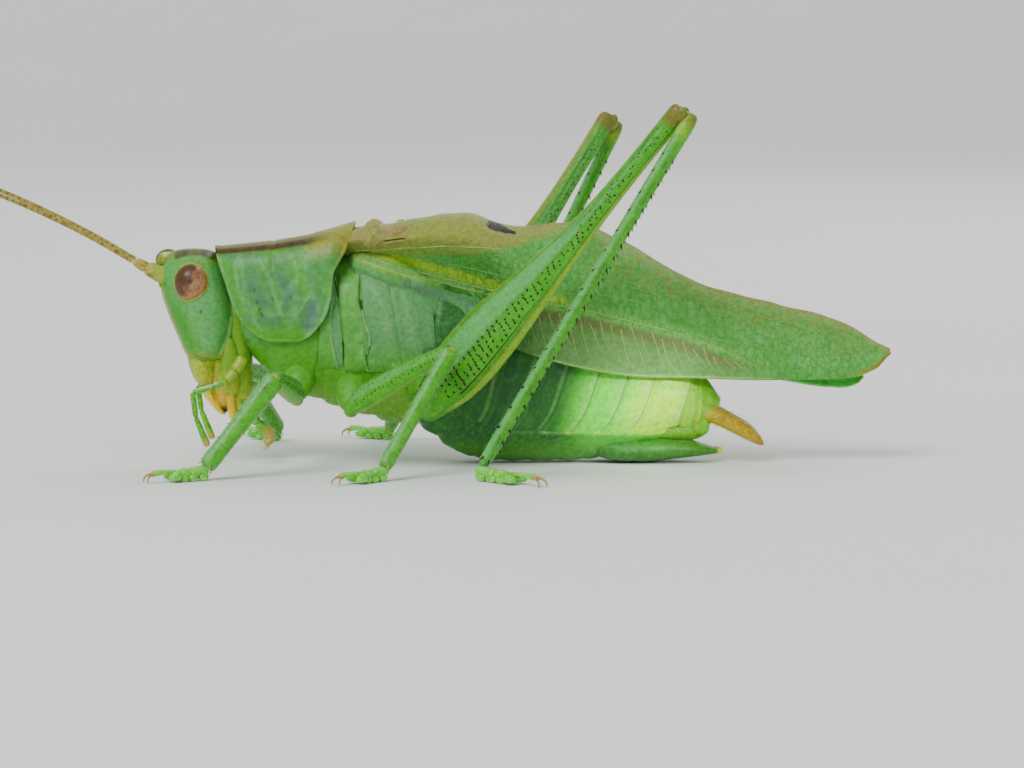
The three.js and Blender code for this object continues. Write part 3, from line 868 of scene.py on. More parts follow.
def knob():
    """The swollen end of the crown between the feelers, with its dark upper rim."""
    piece = ball("crown_knob", (0.22, 0, 7.33), (0.46, 0.34, 0.4), 56, 40)
    unit = points_own(piece)
    outline_share = within(np.abs(unit[:, 1]), 0.62, 0.3)
    rim = outline_share * within(unit[:, 2] - 0.35 * unit[:, 0], -0.1, 0.2)
    return patterned(
        piece,
        # pale is a painted highlight, an arc inside the top of the glassy knob
        pale=0.6 * between(unit[:, 2], 0.45, 0.6, 0.8, 0.7) * within(np.abs(unit[:, 1]), 0.4, 0.6),
        dark=np.clip(rim + within(unit[:, 2], 0.86, 0.95), 0, 1))


def eye(side):
    middle, radii = eye_middle(side)
    middle = middle + Vector((0.04, 0, 0.06))
    piece = ball(f"eye_ball_{side}", middle, (radii.x * 1.06, radii.y, radii.z), 96, 64)
    unit = points_own(piece)
    towards = np.array([-0.05, SIDES[side], 0.12])
    middle_of_gaze = unit @ (towards / np.linalg.norm(towards))
    shade = -0.85 * unit[:, 0] + 0.5 * unit[:, 2] + 0.12 * np.sin(unit[:, 2] * 9) * np.sin(unit[:, 0] * 11)
    return patterned(
        piece,
        pupil=within(middle_of_gaze, 0.982, 0.994) * 0.9,
        top=within(shade, -0.1, 0.3),
        pink=within(unit[:, 0] * 0.6 - unit[:, 2] * 0.7, -0.1, 0.7))


def eye_rim(side, head, ball_piece):
    """A thin golden rim where the eye comes out of the head."""
    sign = SIDES[side]
    middle, radii = eye_middle(side)
    path = []
    for angle in np.linspace(0, 2 * math.pi, 97):
        way = Vector((math.cos(angle) * radii.x, 0, math.sin(angle) * radii.z))
        for share in np.linspace(0.6, 1.2, 90):
            start = middle + way * share
            start.y = 4 * sign
            on_head = head.ray_cast(start, Vector((0, -sign, 0)))
            on_eye = ball_piece.ray_cast(start, Vector((0, -sign, 0)))
            if not on_eye[0] or on_head[1].y * sign > on_eye[1].y * sign:
                break
        path.append(on_head[1])
    rim = strands(f"eye_rim_{side}", [path], [(0.035, 0.035)], 8)
    return noted(rim, "yellow", 1)


def feeler_base(side):
    sign = SIDES[side]
    first = limb(f"scape_shell_{side}", (0.5, sign * 0.4, 6.64), (-0.6, sign * 0.51, 7.06), UP, [
        (0, 0.26, 0.22), (0.12, 0.34, 0.27), (0.35, 0.35, 0.28), (0.65, 0.29, 0.25), (0.9, 0.22, 0.2),
        (1, 0.15, 0.15)])
    second = limb(f"pedicel_{side}", (-0.55, sign * 0.51, 7.04), (-0.99, sign * 0.6, 7.3), UP, [
        (0, 0.12, 0.12), (0.15, 0.165, 0.16), (0.6, 0.145, 0.14), (0.9, 0.11, 0.11), (1, 0.08, 0.08)])
    piece = joined(f"feeler_base_{side}", [first, second])
    x, _, _ = coordinates(piece).T
    return patterned(piece, green=within(x, -0.5, 0.1) * 0.8, speckled=within(x, 0.2, -0.1) * 0.85 + 0.1)


def feeler_path(side):
    """The middle line of the three CAD lengths of a feeler, as even points."""
    path = []
    for number in (1, 2, 3):
        co = points_of(f"flagellum_{side}_{number}")
        co = co[np.argsort(-co[:, 0])]
        breaks = np.nonzero(-np.diff(co[:, 0]) > 0.5)[0] + 1
        rings = [ring.mean(0) for ring in np.split(co, breaks)]
        path += rings if number == 1 else rings[1:]
    path = np.array(path)
    run = np.r_[0, np.cumsum(np.linalg.norm(np.diff(path, axis=0), axis=1))]
    curve = smooth_between(np.c_[run, path])
    return np.stack(curve(np.linspace(0, run[-1], 160)), 1)


def flagellum(side):
    """One ring of the lash, arrayed, narrowed and bent along the feeler's path."""
    count = 150
    path = feeler_path(side)
    length = np.linalg.norm(np.diff(path, axis=0), axis=1).sum()
    step = length / count
    stations = [(0, 0.84, 0.84), (step * 0.25, 0.93, 0.93), (step * 0.8, 1, 1), (step, 0.9, 0.9)]
    ring = drawn(f"lash_{side}", outline(7), stations, 0)
    modified(ring, "ARRAY", count=count, use_relative_offset=False, use_constant_offset=True,
             constant_offset_displace=(0, 0, step))
    co = coordinates(ring)
    share = np.clip(co[:, 2] / length, 0, 1)
    co[:, :2] *= (0.07 * (1 - share) ** 0.7 + 0.02)[:, None]
    noted(reshape(ring, co), "own", co)
    noted(
        ring, "ring",
        np.clip(0.7 * within(np.mod(co[:, 2] / step, 1), 0.75, 0.98) + 0.3 * share + 0.15, 0, 1))
    place = share * (len(path) - 1)
    low = np.minimum(place.astype(int), len(path) - 2)
    along = path[low + 1] - path[low]
    middle = path[low] + along * (place - low)[:, None]
    along /= np.linalg.norm(along, axis=1)[:, None]
    beside = np.cross(along, (0, 0, 1))
    beside /= np.linalg.norm(beside, axis=1)[:, None]
    above = np.cross(beside, along)
    return facing_out(reshape(ring, middle + beside * co[:, :1] + above * co[:, 1:2]))


# ------------------------------------------------------------------ mouthparts

def upright(name, stations, power=0.9, narrow=0.0):
    """A form drawn upwards: (height, front, rear, half width)."""
    rings = [(z, (rear - front) / 2, width, -(front + rear) / 2) for z, front, rear, width in stations]
    return set_at(drawn(name, outline(20, power, narrow), rings, 3), (0, 0, 0), UP, FORWARD)


def clypeus():
    piece = upright("clypeus", [(2.78, 1.28, 1.95, 0.66), (3.05, 1.1, 2.05, 0.8), (3.5, 0.93, 2.1, 0.94),
                                (3.85, 0.86, 2.15, 1.0), (4.02, 0.9, 2.1, 0.9)], narrow=0.1)
    co = coordinates(piece)
    x, _, z = co.T
    height = -0.03 * sum(near(co, [(1.3, 3.75), (1.62, 3.2), (1.75, 2.85)], 0.06, sign) for sign in (-1, 1))
    raised(piece, height)
    dark = sum(
        near(co, [(0.95, 3.95), (1.2, 3.85)], 0.06, sign)
        + 0.6 * near(co, [(1.35, 3.8), (1.6, 3.72)], 0.05, sign)
        for sign in (-1, 1))
    return patterned(
        piece,
        dark=dark * 0.6,
        pink=0.45 * within(z, 3.5, 2.9) * within(x, 1.3, 1.7),
        green=within(z, 3.6, 4.0) * 0.6 + 0.5 * within(x, 1.25, 1.0))


def labrum():
    piece = upright("upper_lip", [(1.72, 2.1, 2.3, 0.2), (1.84, 1.94, 2.24, 0.4), (2.15, 1.66, 2.12, 0.57),
                                  (2.5, 1.4, 2.0, 0.66), (2.82, 1.26, 1.9, 0.64)], narrow=0.15)
    co = coordinates(piece)
    _, _, z = co.T
    edge = within(z, 2.85, 2.3)
    return patterned(
        piece,
        pink=0.2 * within(z, 2.2, 2.6),
        dark=0.5 * near(co, [(1.75, 2.75), (1.9, 2.3)], 0.05, -1) + within(z, 1.8, 1.73) * 0.6,
        yellow=edge)


def mandible(side):
    sign = SIDES[side]
    piece = limb(f"jaw_{side}", (2.05, sign * 0.5, 3.9), (2.28, sign * 0.26, 1.8), FORWARD, [
        (0, 0.36, 0.3), (0.15, 0.44, 0.34), (0.5, 0.38, 0.3), (0.8, 0.24, 0.2), (1, 0.08, 0.08)], 14)
    own = points_own(piece)
    return patterned(
        piece,
        pink=within(own[:, 2], 0.3, 1.1) * 0.7,
        yellow=0.5 * within(own[:, 2], 1.0, 1.5),
        dark=within(own[:, 2], 1.7, 1.95))


def maxilla(side):
    """The outer jaw with its stalk and its two blades."""
    sign = SIDES[side]
    stalk = limb("stalk", (2.44, sign * 0.84, 4.6), (2.5, sign * 0.62, 2.45), FORWARD, [
        (0, 0.12, 0.1), (0.15, 0.26, 0.2), (0.45, 0.4, 0.26), (0.75, 0.36, 0.24), (0.93, 0.26, 0.2),
        (1, 0.14, 0.12)], 18)
    own = points_own(stalk)
    raised(stalk, -0.03 * peak(own[:, 2], 0.95, 0.06) - 0.02 * peak(own[:, 2], 1.5, 0.05))
    patterned(
        stalk,
        green=0.9 * within(own[:, 2], 1.9, 0.9),
        pink=0.25 * within(own[:, 2], 1.2, 0.2) * within(own[:, 0], -0.1, 0.2))
    hood = limb("hood", (2.42, sign * 0.5, 3.0), (2.58, sign * 0.34, 1.44), FORWARD, [
        (0, 0.14, 0.16), (0.2, 0.19, 0.22), (0.6, 0.17, 0.19, 0.04), (0.9, 0.12, 0.13, 0.02),
        (1, 0.05, 0.05)], 14)
    noted(hood, "yellow", 0.8)
    blade = limb("blade", (2.76, sign * 0.42, 2.95), (2.84, sign * 0.22, 1.62), FORWARD, [
        (0, 0.14, 0.15), (0.3, 0.16, 0.17), (0.8, 0.12, 0.12, 0.03), (1, 0.04, 0.04)], 12)
    noted(blade, "yellow", 0.55)
    return joined(f"outer_jaw_{side}", [stalk, hood, blade])


def labium():
    """The lower lip closes the mouth from behind, with the throat above it."""
    piece = upright("lower_lip", [
        (1.55, 2.72, 3.0, 0.25), (1.8, 2.6, 3.14, 0.42), (2.4, 2.5, 3.24, 0.58), (3.2, 2.4, 3.28, 0.76),
        (4.2, 2.3, 3.24, 0.84), (5.2, 2.3, 3.08, 0.76), (6.1, 2.2, 2.86, 0.7)], power=0.8)
    _, y, z = coordinates(piece).T
    raised(piece, -0.08 * within(np.abs(y), 0.12, 0.03) * within(z, 2.6, 2.0)
           - 0.03 * peak(z, 2.9, 0.07) - 0.03 * peak(z, 4.35, 0.08))
    return noted(piece, "green", 0.9 * within(z, 2.1, 3.6))


def maxillary_palp(side):
    """Along under the cheek, down at the elbow and back at the tip."""
    sign = SIDES[side]
    points = [
        (2.95, sign * 0.8, 3.85), (2.66, sign * 0.98, 3.36), (2.34, sign * 1.14, 3.04),
        (1.92, sign * 1.26, 2.86), (1.16, sign * 1.34, 2.63), (1.28, sign * 1.38, 1.74),
        (1.7, sign * 1.34, 0.68)]
    piece = jointed(
        f"long_palp_{side}", points, [0.24, 0.22, 0.17, 0.125, 0.115, 0.11, 0.14], Vector((0, 1, 0)))
    co = coordinates(piece)
    x, _, z = co.T
    return patterned(
        piece,
        tan=within(z, 1.05, 0.75),
        yellow=0.8 * within(x, 2.05, 2.4),
        # pale is a painted glint along the top of the long level joint
        pale=0.6 * near(co, [(1.9, 2.98), (1.4, 2.82)], 0.12, sign) * within(z, 2.7, 2.85))


def labial_palp(side):
    sign = SIDES[side]
    points = [
        (2.95, sign * 0.5, 2.3), (3.15, sign * 0.56, 1.85), (3.42, sign * 0.64, 1.42),
        (3.98, sign * 0.72, 0.92), (3.72, sign * 0.76, 0.68)]
    stem = jointed("stem", points, [0.14, 0.13, 0.13, 0.14, 0.15], Vector((0, 1, 0)))
    tip = ball("tip", (3.7, sign * 0.76, 0.66), (0.17, 0.15, 0.17))
    noted(tip, "pale", 0.7)
    piece = joined(f"short_palp_{side}", [stem, tip])
    x, _, _ = coordinates(piece).T
    return noted(piece, "tan", within(x, 3.55, 3.85) * 0.8)


# ------------------------------------------------------------------ pronotum

SHOULDER = 0.58  # share of the way from the back line to the hem where the saddle is widest


def measured(nodes, stations, lean=0.0, above=-1.0):
    """(x, top, bottom, half width) of some nodes on planes across them; widths are read above a height."""
    rows = []
    for x in stations:
        section = cut(nodes, (x, 0, 4.5 if lean == 0 else 2.6), (1, 0, -lean))
        wide = section[section[:, 2] > above]
        rows.append((x, section[:, 2].max(), section[:, 2].min(), np.abs(wide[:, 1]).max()))
    return rows


def pronotum():
    low, high = corners("pronotum")
    length = high.x - low.x
    rows = measured(["pronotum"], np.linspace(low.x + 0.15, high.x - 0.1, 9))
    size = smooth_between([(x, top, width) for x, top, _, width in rows])
    edges = smooth_between([
        (0, 0.44, 0.575), (0.012, 0.395, 0.615), (0.04, 0.34, 0.66), (0.1, 0.275, 0.715), (0.2, 0.21, 0.775),
        (0.5, 0.11, 0.845), (0.62, 0.085, 0.855), (0.78, 0.045, 0.935), (1, 0, 1)])
    hem = low.z - 0.22

    def saddle_height(t):
        turn = np.clip(t / SHOULDER, 0, 1) * math.pi / 2
        fall = np.clip((t - SHOULDER) / (1 - SHOULDER), 0, 1)
        height = np.where(t < SHOULDER, 0.5 + 0.5 * np.cos(turn) ** 0.62, 0.5 * (1 - fall) ** 1.6)
        return height, np.sin(turn) ** 0.62, fall

    def place(u, v):
        side = np.sign(2 * v - 1)
        height, out, fall = saddle_height(np.abs(2 * v - 1))
        front, rear = edges(height)
        x = low.x + length * (front + (rear - front) * u)
        top, width = size(x)
        return x, side * (out - 0.13 * fall ** 2) * (width + 0.02), hem + (top - hem) * height

    piece = bent_sheet("saddle", 150, 230, place, 0.07)
    own, co = points_own(piece), coordinates(piece)
    u, t = own[:, 0], np.abs(2 * own[:, 1] - 1)
    x, _, z = co.T
    height_share = saddle_height(t)[0]
    front, rear = edges(height_share)
    wide = (rear - front) * length
    rim = np.maximum(within(u * wide, 0.13, 0.06), within((1 - u) * wide, 0.13, 0.06))
    rim = np.maximum(rim, within(height_share * (size(x)[0] - hem), 0.11, 0.05))
    height = 0.022 * rim
    height -= 0.03 * peak(x, 4.05, 0.09) * within(t, 0.55, 0.4)
    height -= 0.02 * peak(x, 5.3, 0.12) * within(t, 0.5, 0.35)
    pale, grey, green, dark = (np.zeros(len(co)) for _ in range(4))
    ridges = [
        [(3.6, 7.4), (3.95, 6.8), (4.27, 5.8), (4.35, 5.55)],
        [(4.9, 7.3), (5.0, 6.75), (4.68, 6.45), (4.34, 5.75)],
        [(3.9, 5.48), (4.95, 5.45), (5.16, 5.78), (5.35, 6.08), (5.62, 6.02), (5.7, 5.55), (5.58, 4.95),
         (5.3, 4.7)],
        [(6.15, 6.2), (5.95, 5.5), (5.72, 4.85), (5.35, 4.52)],
        [(2.7, 7.3), (2.85, 6.4), (3.2, 5.5), (3.7, 4.85)],
    ]
    for sign in SIDES.values():
        for ridge in ridges:
            height += 0.02 * near(co, ridge, 0.07, sign)
            pale += 0.3 * near(co, ridge, 0.08, sign)
        hollow = near(co, [(5.5, 5.8), (5.36, 5.05)], 0.22, sign)
        height -= 0.07 * hollow
        grey += 0.95 * hollow + 0.5 * near(co, [(3.3, 6.6), (3.75, 6.0)], 0.3, sign)
        grey += (
            0.45 * near(co, [(4.3, 6.9), (4.6, 6.2)], 0.25, sign)
            + 0.4 * near(co, [(5.4, 7.0), (5.5, 6.7)], 0.15, sign))
        green += 0.5 * near(co, [(5.0, 7.1), (5.2, 6.2)], 0.25, sign)
        for spot in [
            (3.42, 6.35), (3.5, 5.95), (3.58, 5.66), (3.66, 5.5), (4.05, 6.05), (4.7, 6.1), (5.0, 6.4)]:
            dark += 0.8 * near(co, [spot, (spot[0] + 0.03, spot[1] - 0.06)], 0.035, sign)
    green += 0.9 * within(z, 5.35, 4.7) + 0.4 * within(u, 0.3, 0.0) * within(z, 7.4, 6.5)
    raised(piece, height, wall=True)
    ragged = 0.85 + 0.15 * np.sin(x * 19) * np.sin(x * 7)
    dark += between(t, 0.12, 0.165, 0.275, 0.225) * within(x, 6.0, 5.0) * ragged
    olive = within(t, 0.3, 0.22) * within(x, 6.4, 5.2)
    tan = within(t, 0.5, 0.3) * within(x, 4.9, 5.8) + 0.6 * within(u, 0.93, 0.985) * within(t, 0.55, 0.35)
    yellow = within(u, 0.96, 0.985) * within(t, 0.55, 0.35) + 0.5 * within(t, 0.035, 0.015)
    pale += 0.14 * rim
    return patterned(
        piece, pale=pale, grey=grey, green=green, dark=dark, olive=olive, tan=tan, yellow=yellow)


# ------------------------------------------------------------------ thorax

LEAN = smooth_between([(2.5, 0), (6, 0.05), (9, 0.12), (14, 0.32), (20.1, 0.3)])
RING_NODES = [f"abdomen_{number}" for number in range(1, 9)]
THORAX_NODES = ["prothorax", "mesothorax", "metathorax"]
SKIN_DEPTH = 0.05  # how far the trunk's soft skin lies under its plates


def trunk_stations():
    rows = measured(THORAX_NODES, [2.9, 3.6, 4.4, 5.2, 6.2, 7.2, 8.2], 0.0, 4.2)
    belly = [(x, cut(THORAX_NODES, (x, 0, 0), (1, 0, 0))) for x, *_ in rows]
    rows = [(x, top, section[np.abs(section[:, 1]) < 0.5][:, 2].min(), wide)
            for (x, top, _, wide), (_, section) in zip(rows, belly)]
    for node in RING_NODES + ["abdomen_tip"]:
        low, high = corners(node)
        x = (low.x + high.x) / 2
        rows += measured([node], [x], float(LEAN(x)[0]))
    last = rows[-1]
    end = corners("abdomen_tip")[1].x
    return rows + [(end, last[1] - 0.45, last[2] + 0.3, last[3] * 0.62)]


TRUNK = smooth_between(trunk_stations())


def flank(x, z, lift=0.0):
    """How far out the trunk's side lies at a place seen from the side."""
    top, bottom, width = TRUNK(x)
    rise = np.clip(np.abs(z - (top + bottom) / 2) / ((top - bottom) / 2), 0, 0.999)
    return width * (1 - rise ** 2.27) ** 0.44 + lift


def trunk_skin(name, sides, places):
    """A skin that lies a little way inside the trunk's own shape."""
    stations = []
    for x in places:
        top, bottom, width = TRUNK(x)
        stations.append((x, (top - bottom) / 2 - SKIN_DEPTH, width - SKIN_DEPTH, (top + bottom) / 2))
    return lengthwise(name, sides, 0.88, stations)


def thorax_skin():
    piece = trunk_skin("thorax_skin", 28, (2.75, 3.1, 3.8, 4.8, 5.8, 6.8, 7.8, 8.8, 9.7))
    co = coordinates(piece)
    x, y, z = co.T
    height = 0.025 * np.sin(x * 6.5 + np.abs(y)) * within(z, 3.9, 3.3)
    height -= 0.08 * peak(x, 5.75, 0.14) * within(z, 4.2, 3.4)
    height -= 0.08 * peak(x, 7.65, 0.14) * within(z, 3.9, 3.3)
    raised(piece, height)
    return patterned(
        piece,
        green=within(z, 4.8, 3.9),
        yellow=within(z, 3.4, 2.4),
        dark=0.3 * peak(x, 5.75, 0.05) * within(z, 4.0, 3.4))


def plate(name, sign, front, rear, low, high, lift, marks, power=8):
    """A shell plate on the trunk's side between two lines (z, x), domed and tucked in at its edges."""
    front, rear = smooth_between(front), smooth_between(rear)

    def place(u, v):
        z = low + (high - low) * v
        x = front(z)[0] + (rear(z)[0] - front(z)[0]) * u
        dome = (1 - (2 * u - 1) ** power) * (1 - (2 * v - 1) ** power)
        return x, sign * (flank(x, z) - 0.035 + (lift + 0.035) * dome ** 0.7), z

    piece = bent_sheet(name, 44, 80, place, 0.09, flip=sign > 0)
    co, (u, v, _) = coordinates(piece), points_own(piece).T
    return patterned(piece, **{mark: rule(co, u, v) for mark, rule in marks.items()})


def thorax_plates(side):
    sign = SIDES[side]

    def streaks(co, u, v):
        lines = [
            [(7.7, 6.4), (8.1, 5.6), (8.2, 4.7)], [(8.7, 6.2), (9.0, 5.2), (9.1, 4.4)],
            [(6.8, 6.3), (6.9, 5.4)]]
        return 0.22 * sum(near(co, line, 0.14, sign) for line in lines) + 0.25 * within(u, 0.95, 1.0)

    def on_flank(line, lift):
        return [(x, sign * float(flank(x, z, lift)), z) for z, x in line]

    pieces = [
        plate("front_hip_plate", sign, [(2.9, 4.0), (3.8, 3.9), (4.9, 3.8)],
              [(2.9, 5.35), (3.8, 5.6), (4.9, 5.8)], 2.9, 4.9, 0.03,
              power=4, marks={"green": lambda co, u, v: 0.9}),
        plate("first_side_plate", sign, [(3.5, 5.7), (4.5, 5.68), (5.6, 5.8), (6.8, 6.05)],
              [(3.5, 6.44), (4.5, 6.22), (5.2, 6.16), (6.0, 6.22), (6.8, 6.32)], 3.5, 6.8, 0.06,
              marks={"pale": lambda co, u, v: 0.6 * within(u, 0.8, 0.97),
                     "green": lambda co, u, v: 0.8 * within(v, 0.3, 0.0)}),
        plate("grey_side_strip", sign, [(3.6, 6.4), (4.5, 6.2), (5.2, 6.14), (6.0, 6.2), (6.7, 6.28)],
              [(3.6, 6.58), (4.5, 6.57), (5.4, 6.47), (6.0, 6.4), (6.7, 6.32)], 3.6, 6.7, 0.0,
              marks={"grey": lambda co, u, v: 0.9}),
        plate("second_side_plate", sign, [(3.4, 6.62), (4.5, 6.6), (5.4, 6.52), (6.0, 6.42), (6.9, 6.4)],
              [(3.4, 7.5), (4.0, 7.42), (4.35, 7.54), (4.7, 7.54), (5.2, 7.34), (5.7, 7.22), (6.9, 7.17)],
              3.4, 6.9, 0.08,
              marks={"pale": lambda co, u, v: 0.6 * within(u, 0.88, 0.98) * within(v, 0.75, 0.6)
                     + 0.2 * streaks(co, u, v),
                     "green": lambda co, u, v: 0.7 * within(v, 0.25, 0.0),
                     "yellow": lambda co, u, v: 0.6 * near(co, [(7.27, 4.45), (7.27, 4.62)], 0.1, sign)}),
        plate("third_side_plate", sign, [(3.4, 7.52), (4.0, 7.45), (4.5, 7.57), (5.2, 7.37), (6.9, 7.2)],
              [(3.4, 8.78), (4.5, 8.63), (5.6, 8.41), (6.9, 8.22)], 3.4, 6.9, 0.02,
              marks={"grey": lambda co, u, v: 0.8 * within(v, 0.1, 0.35), "pale": streaks}),
        plate("hind_side_plate", sign, [(3.2, 8.76), (4.5, 8.6), (5.6, 8.38), (6.7, 8.2)],
              [(3.2, 9.85), (4.5, 9.9), (5.6, 9.8), (6.7, 9.6)], 3.2, 6.7, 0.02,
              marks={"grey": lambda co, u, v: 0.8 * within(v, 0.1, 0.35), "pale": streaks}),
    ]
    piece = joined(f"thorax_plates_{side}", pieces)
    bump = ball("bump", (7.27, sign * float(flank(7.27, 4.53, 0.04)), 4.53), (0.09, 0.06, 0.15), 16, 12)
    noted(bump, "yellow", 0.6)
    slits = strands("slit", [
        on_flank([(4.5, 6.57), (4.2, 6.59), (3.85, 6.58)], 0.0),
        on_flank([(6.62, 6.3), (6.35, 6.35), (6.05, 6.41)], 0.01),
        on_flank([(5.98, 7.2), (5.8, 7.22), (5.6, 7.25)], 0.03)],
        [(0.035, 0.02), (0.032, 0.012), (0.055, 0.02)])
    noted(slits, "dark", 0.85)
    folds = strands("fold", [
        on_flank([(5.65, 7.25), (5.2, 7.37), (4.75, 7.54), (4.35, 7.55), (4.05, 7.44)], 0.015),
        on_flank([(6.1, 6.25), (5.4, 6.13), (4.6, 6.17), (3.9, 6.3)], 0.02)], [(0.035, 0.035), (0.03, 0.03)])
    noted(folds, "pale", 0.8)
    return joined(f"thorax_plates_{side}", [piece, bump, slits, folds])


# ------------------------------------------------------------------ abdomen

def belt(x, angle, lift):
    """A point of the abdomen's wall, at an angle from the back line round a ring that leans back."""
    top, bottom, width = TRUNK(x)
    (lean,) = LEAN(x)
    up = np.sign(np.cos(angle)) * np.abs(np.cos(angle)) ** 0.88
    out = np.sign(np.sin(angle)) * np.abs(np.sin(angle)) ** 0.88
    rise = ((top - bottom) / 2 + lift) * up
    z = np.maximum((top + bottom) / 2 + rise, FLOOR_GAP)
    return x + lean * rise - swing(x, z), out * (width + lift), z


def swing(x, z):
    """How far a ring's joint swings forward below the middle."""
    return 0.34 * np.clip((2.35 - z) / 1.2, 0, 1.3) ** 2 * between(x, 9.5, 11.5, 18.6, 17.6)


def ring_joints(node):
    """Where a ring of the abdomen begins and ends at half its height."""
    low, high = corners(node)
    top, bottom, _ = TRUNK((low.x + high.x) / 2)
    section = cut([node], (0, 0, float(top + bottom) / 2), (0, 0, 1))
    return section[:, 0].min(), section[:, 0].max()


def back_plate(number):
    start, end = ring_joints(f"abdomen_{number}")
    reach = math.radians(118 if number < 8 else 122)
    start, end = start - 0.12, end + 0.14
    bright = number > 4

    def place(u, v):
        side = 2 * v - 1
        corner = within(np.abs(side), 0.86, 1.0)
        x = start + (end - start) * (0.5 + (u - 0.5) * (1 - 0.03 * corner ** 2))
        round_back = 0.05 * np.sin(np.clip(u, 0, 1) * math.pi) ** 0.8
        under_wing = within(np.abs(side), 0.74, 0.62) * within(x, 12.2, 11.5)
        lift = (
            -0.05 + 0.07 * within(u, 0.0, 0.35) + round_back + 0.015 * u ** 3 - 0.1 * corner
            - 0.35 * under_wing)
        return belt(x, side * reach, lift)

    piece = bent_sheet(f"back_plate_{number}", 34, 140, place, 0.05)
    own, (x, _, z) = points_own(piece), coordinates(piece).T
    u, side = own[:, 0], np.abs(2 * own[:, 1] - 1)
    folds = 0.01 * np.sin(own[:, 1] * 90 + np.sin(own[:, 0] * 4)) * between(u, 0.1, 0.4, 0.95, 0.7)
    raised(piece, folds + 0.012 * within(u, 0.93, 0.98), wall=True)
    lean = x - 0.3 * (z - 2.8)
    wavy = 0.16 * np.sin(x * 4.2) + 0.1 * np.sin(x * 9)
    threads = sum(peak(z - level, wavy, 0.035) for level in (1.55, 2.05)) * (number == 8)
    rear_line = within(u, 0.95, 0.975) * within(side, 0.99, 0.9)
    pale = 0.6 * between(u, 0.82, 0.9, 0.96, 0.93)
    return patterned(
        piece,
        # bright and lime: painted sunlight shining through the rear rings, lime also over their own
        # yellow-green
        bright=within(lean, 14.3, 15.7),
        lime=within(lean, 16.4, 17.7) * (0.85 + 0.15 * np.sin(z * 6)),
        yellow=0.6 * threads,
        # dark: the dark line at the ring's rear edge, and painted shade at the front edge, which lies under
        # the ring before
        dark=rear_line * (0.55 if bright else 0.3) + 0.15 * within(u, 0.14, 0.0),
        pale=pale * (0.9 if bright else 0.3))


def belly_skin():
    piece = trunk_skin("belly_skin", 32, (9.2, 9.8, 10.8, 12.0, 13.2, 14.4, 15.6, 16.8, 17.9, 18.9))
    co = coordinates(piece)
    joints = [ring_joints(node)[1] for node in RING_NODES]
    (lean,) = LEAN(co[:, 0])
    level = co[:, 0] - lean * (co[:, 2] - 2.5)
    height = -0.035 * sum(peak(level, joint, 0.12) for joint in joints) * within(co[:, 2], 1.9, 1.4)
    height += 0.045 * peak(co[:, 2], 1.15, 0.14) + 0.01 * np.sin(level * 9) * within(co[:, 2], 1.2, 0.9)
    raised(piece, height)
    co = coordinates(piece)
    (lean,) = LEAN(co[:, 0])
    co[:, 0] += lean * (co[:, 2] - 2.5) - swing(co[:, 0], co[:, 2])
    co[:, 2] = np.maximum(co[:, 2], FLOOR_GAP)
    reshape(piece, co)
    x, _, z = co.T
    glints = 0.5 + 0.5 * np.sin(x * 8.5) * np.sin(x * 3.1)
    flecks = [[(14.54, 1.24), (14.68, 1.2)], [(15.64, 1.24), (15.78, 1.2)]]
    return patterned(
        piece,
        # bright and lime: painted sunlight on the rear belly, stronger higher up
        bright=within(x, 14.0, 15.8) * (0.4 * within(z, 0.3, 1.0) + 0.5 * within(z, 1.0, 1.3)),
        lime=within(x, 16.6, 17.6) * within(z, 0.9, 1.2) * 0.8,
        olive=within(z, 1.2, 0.4) * 0.25,
        pale=0.55 * peak(z, 1.22, 0.06) * glints * within(x, 12, 14),
        yellow=0.7 * sum(near(co, fleck, 0.06, sign) for fleck in flecks for sign in (-1, 1)))


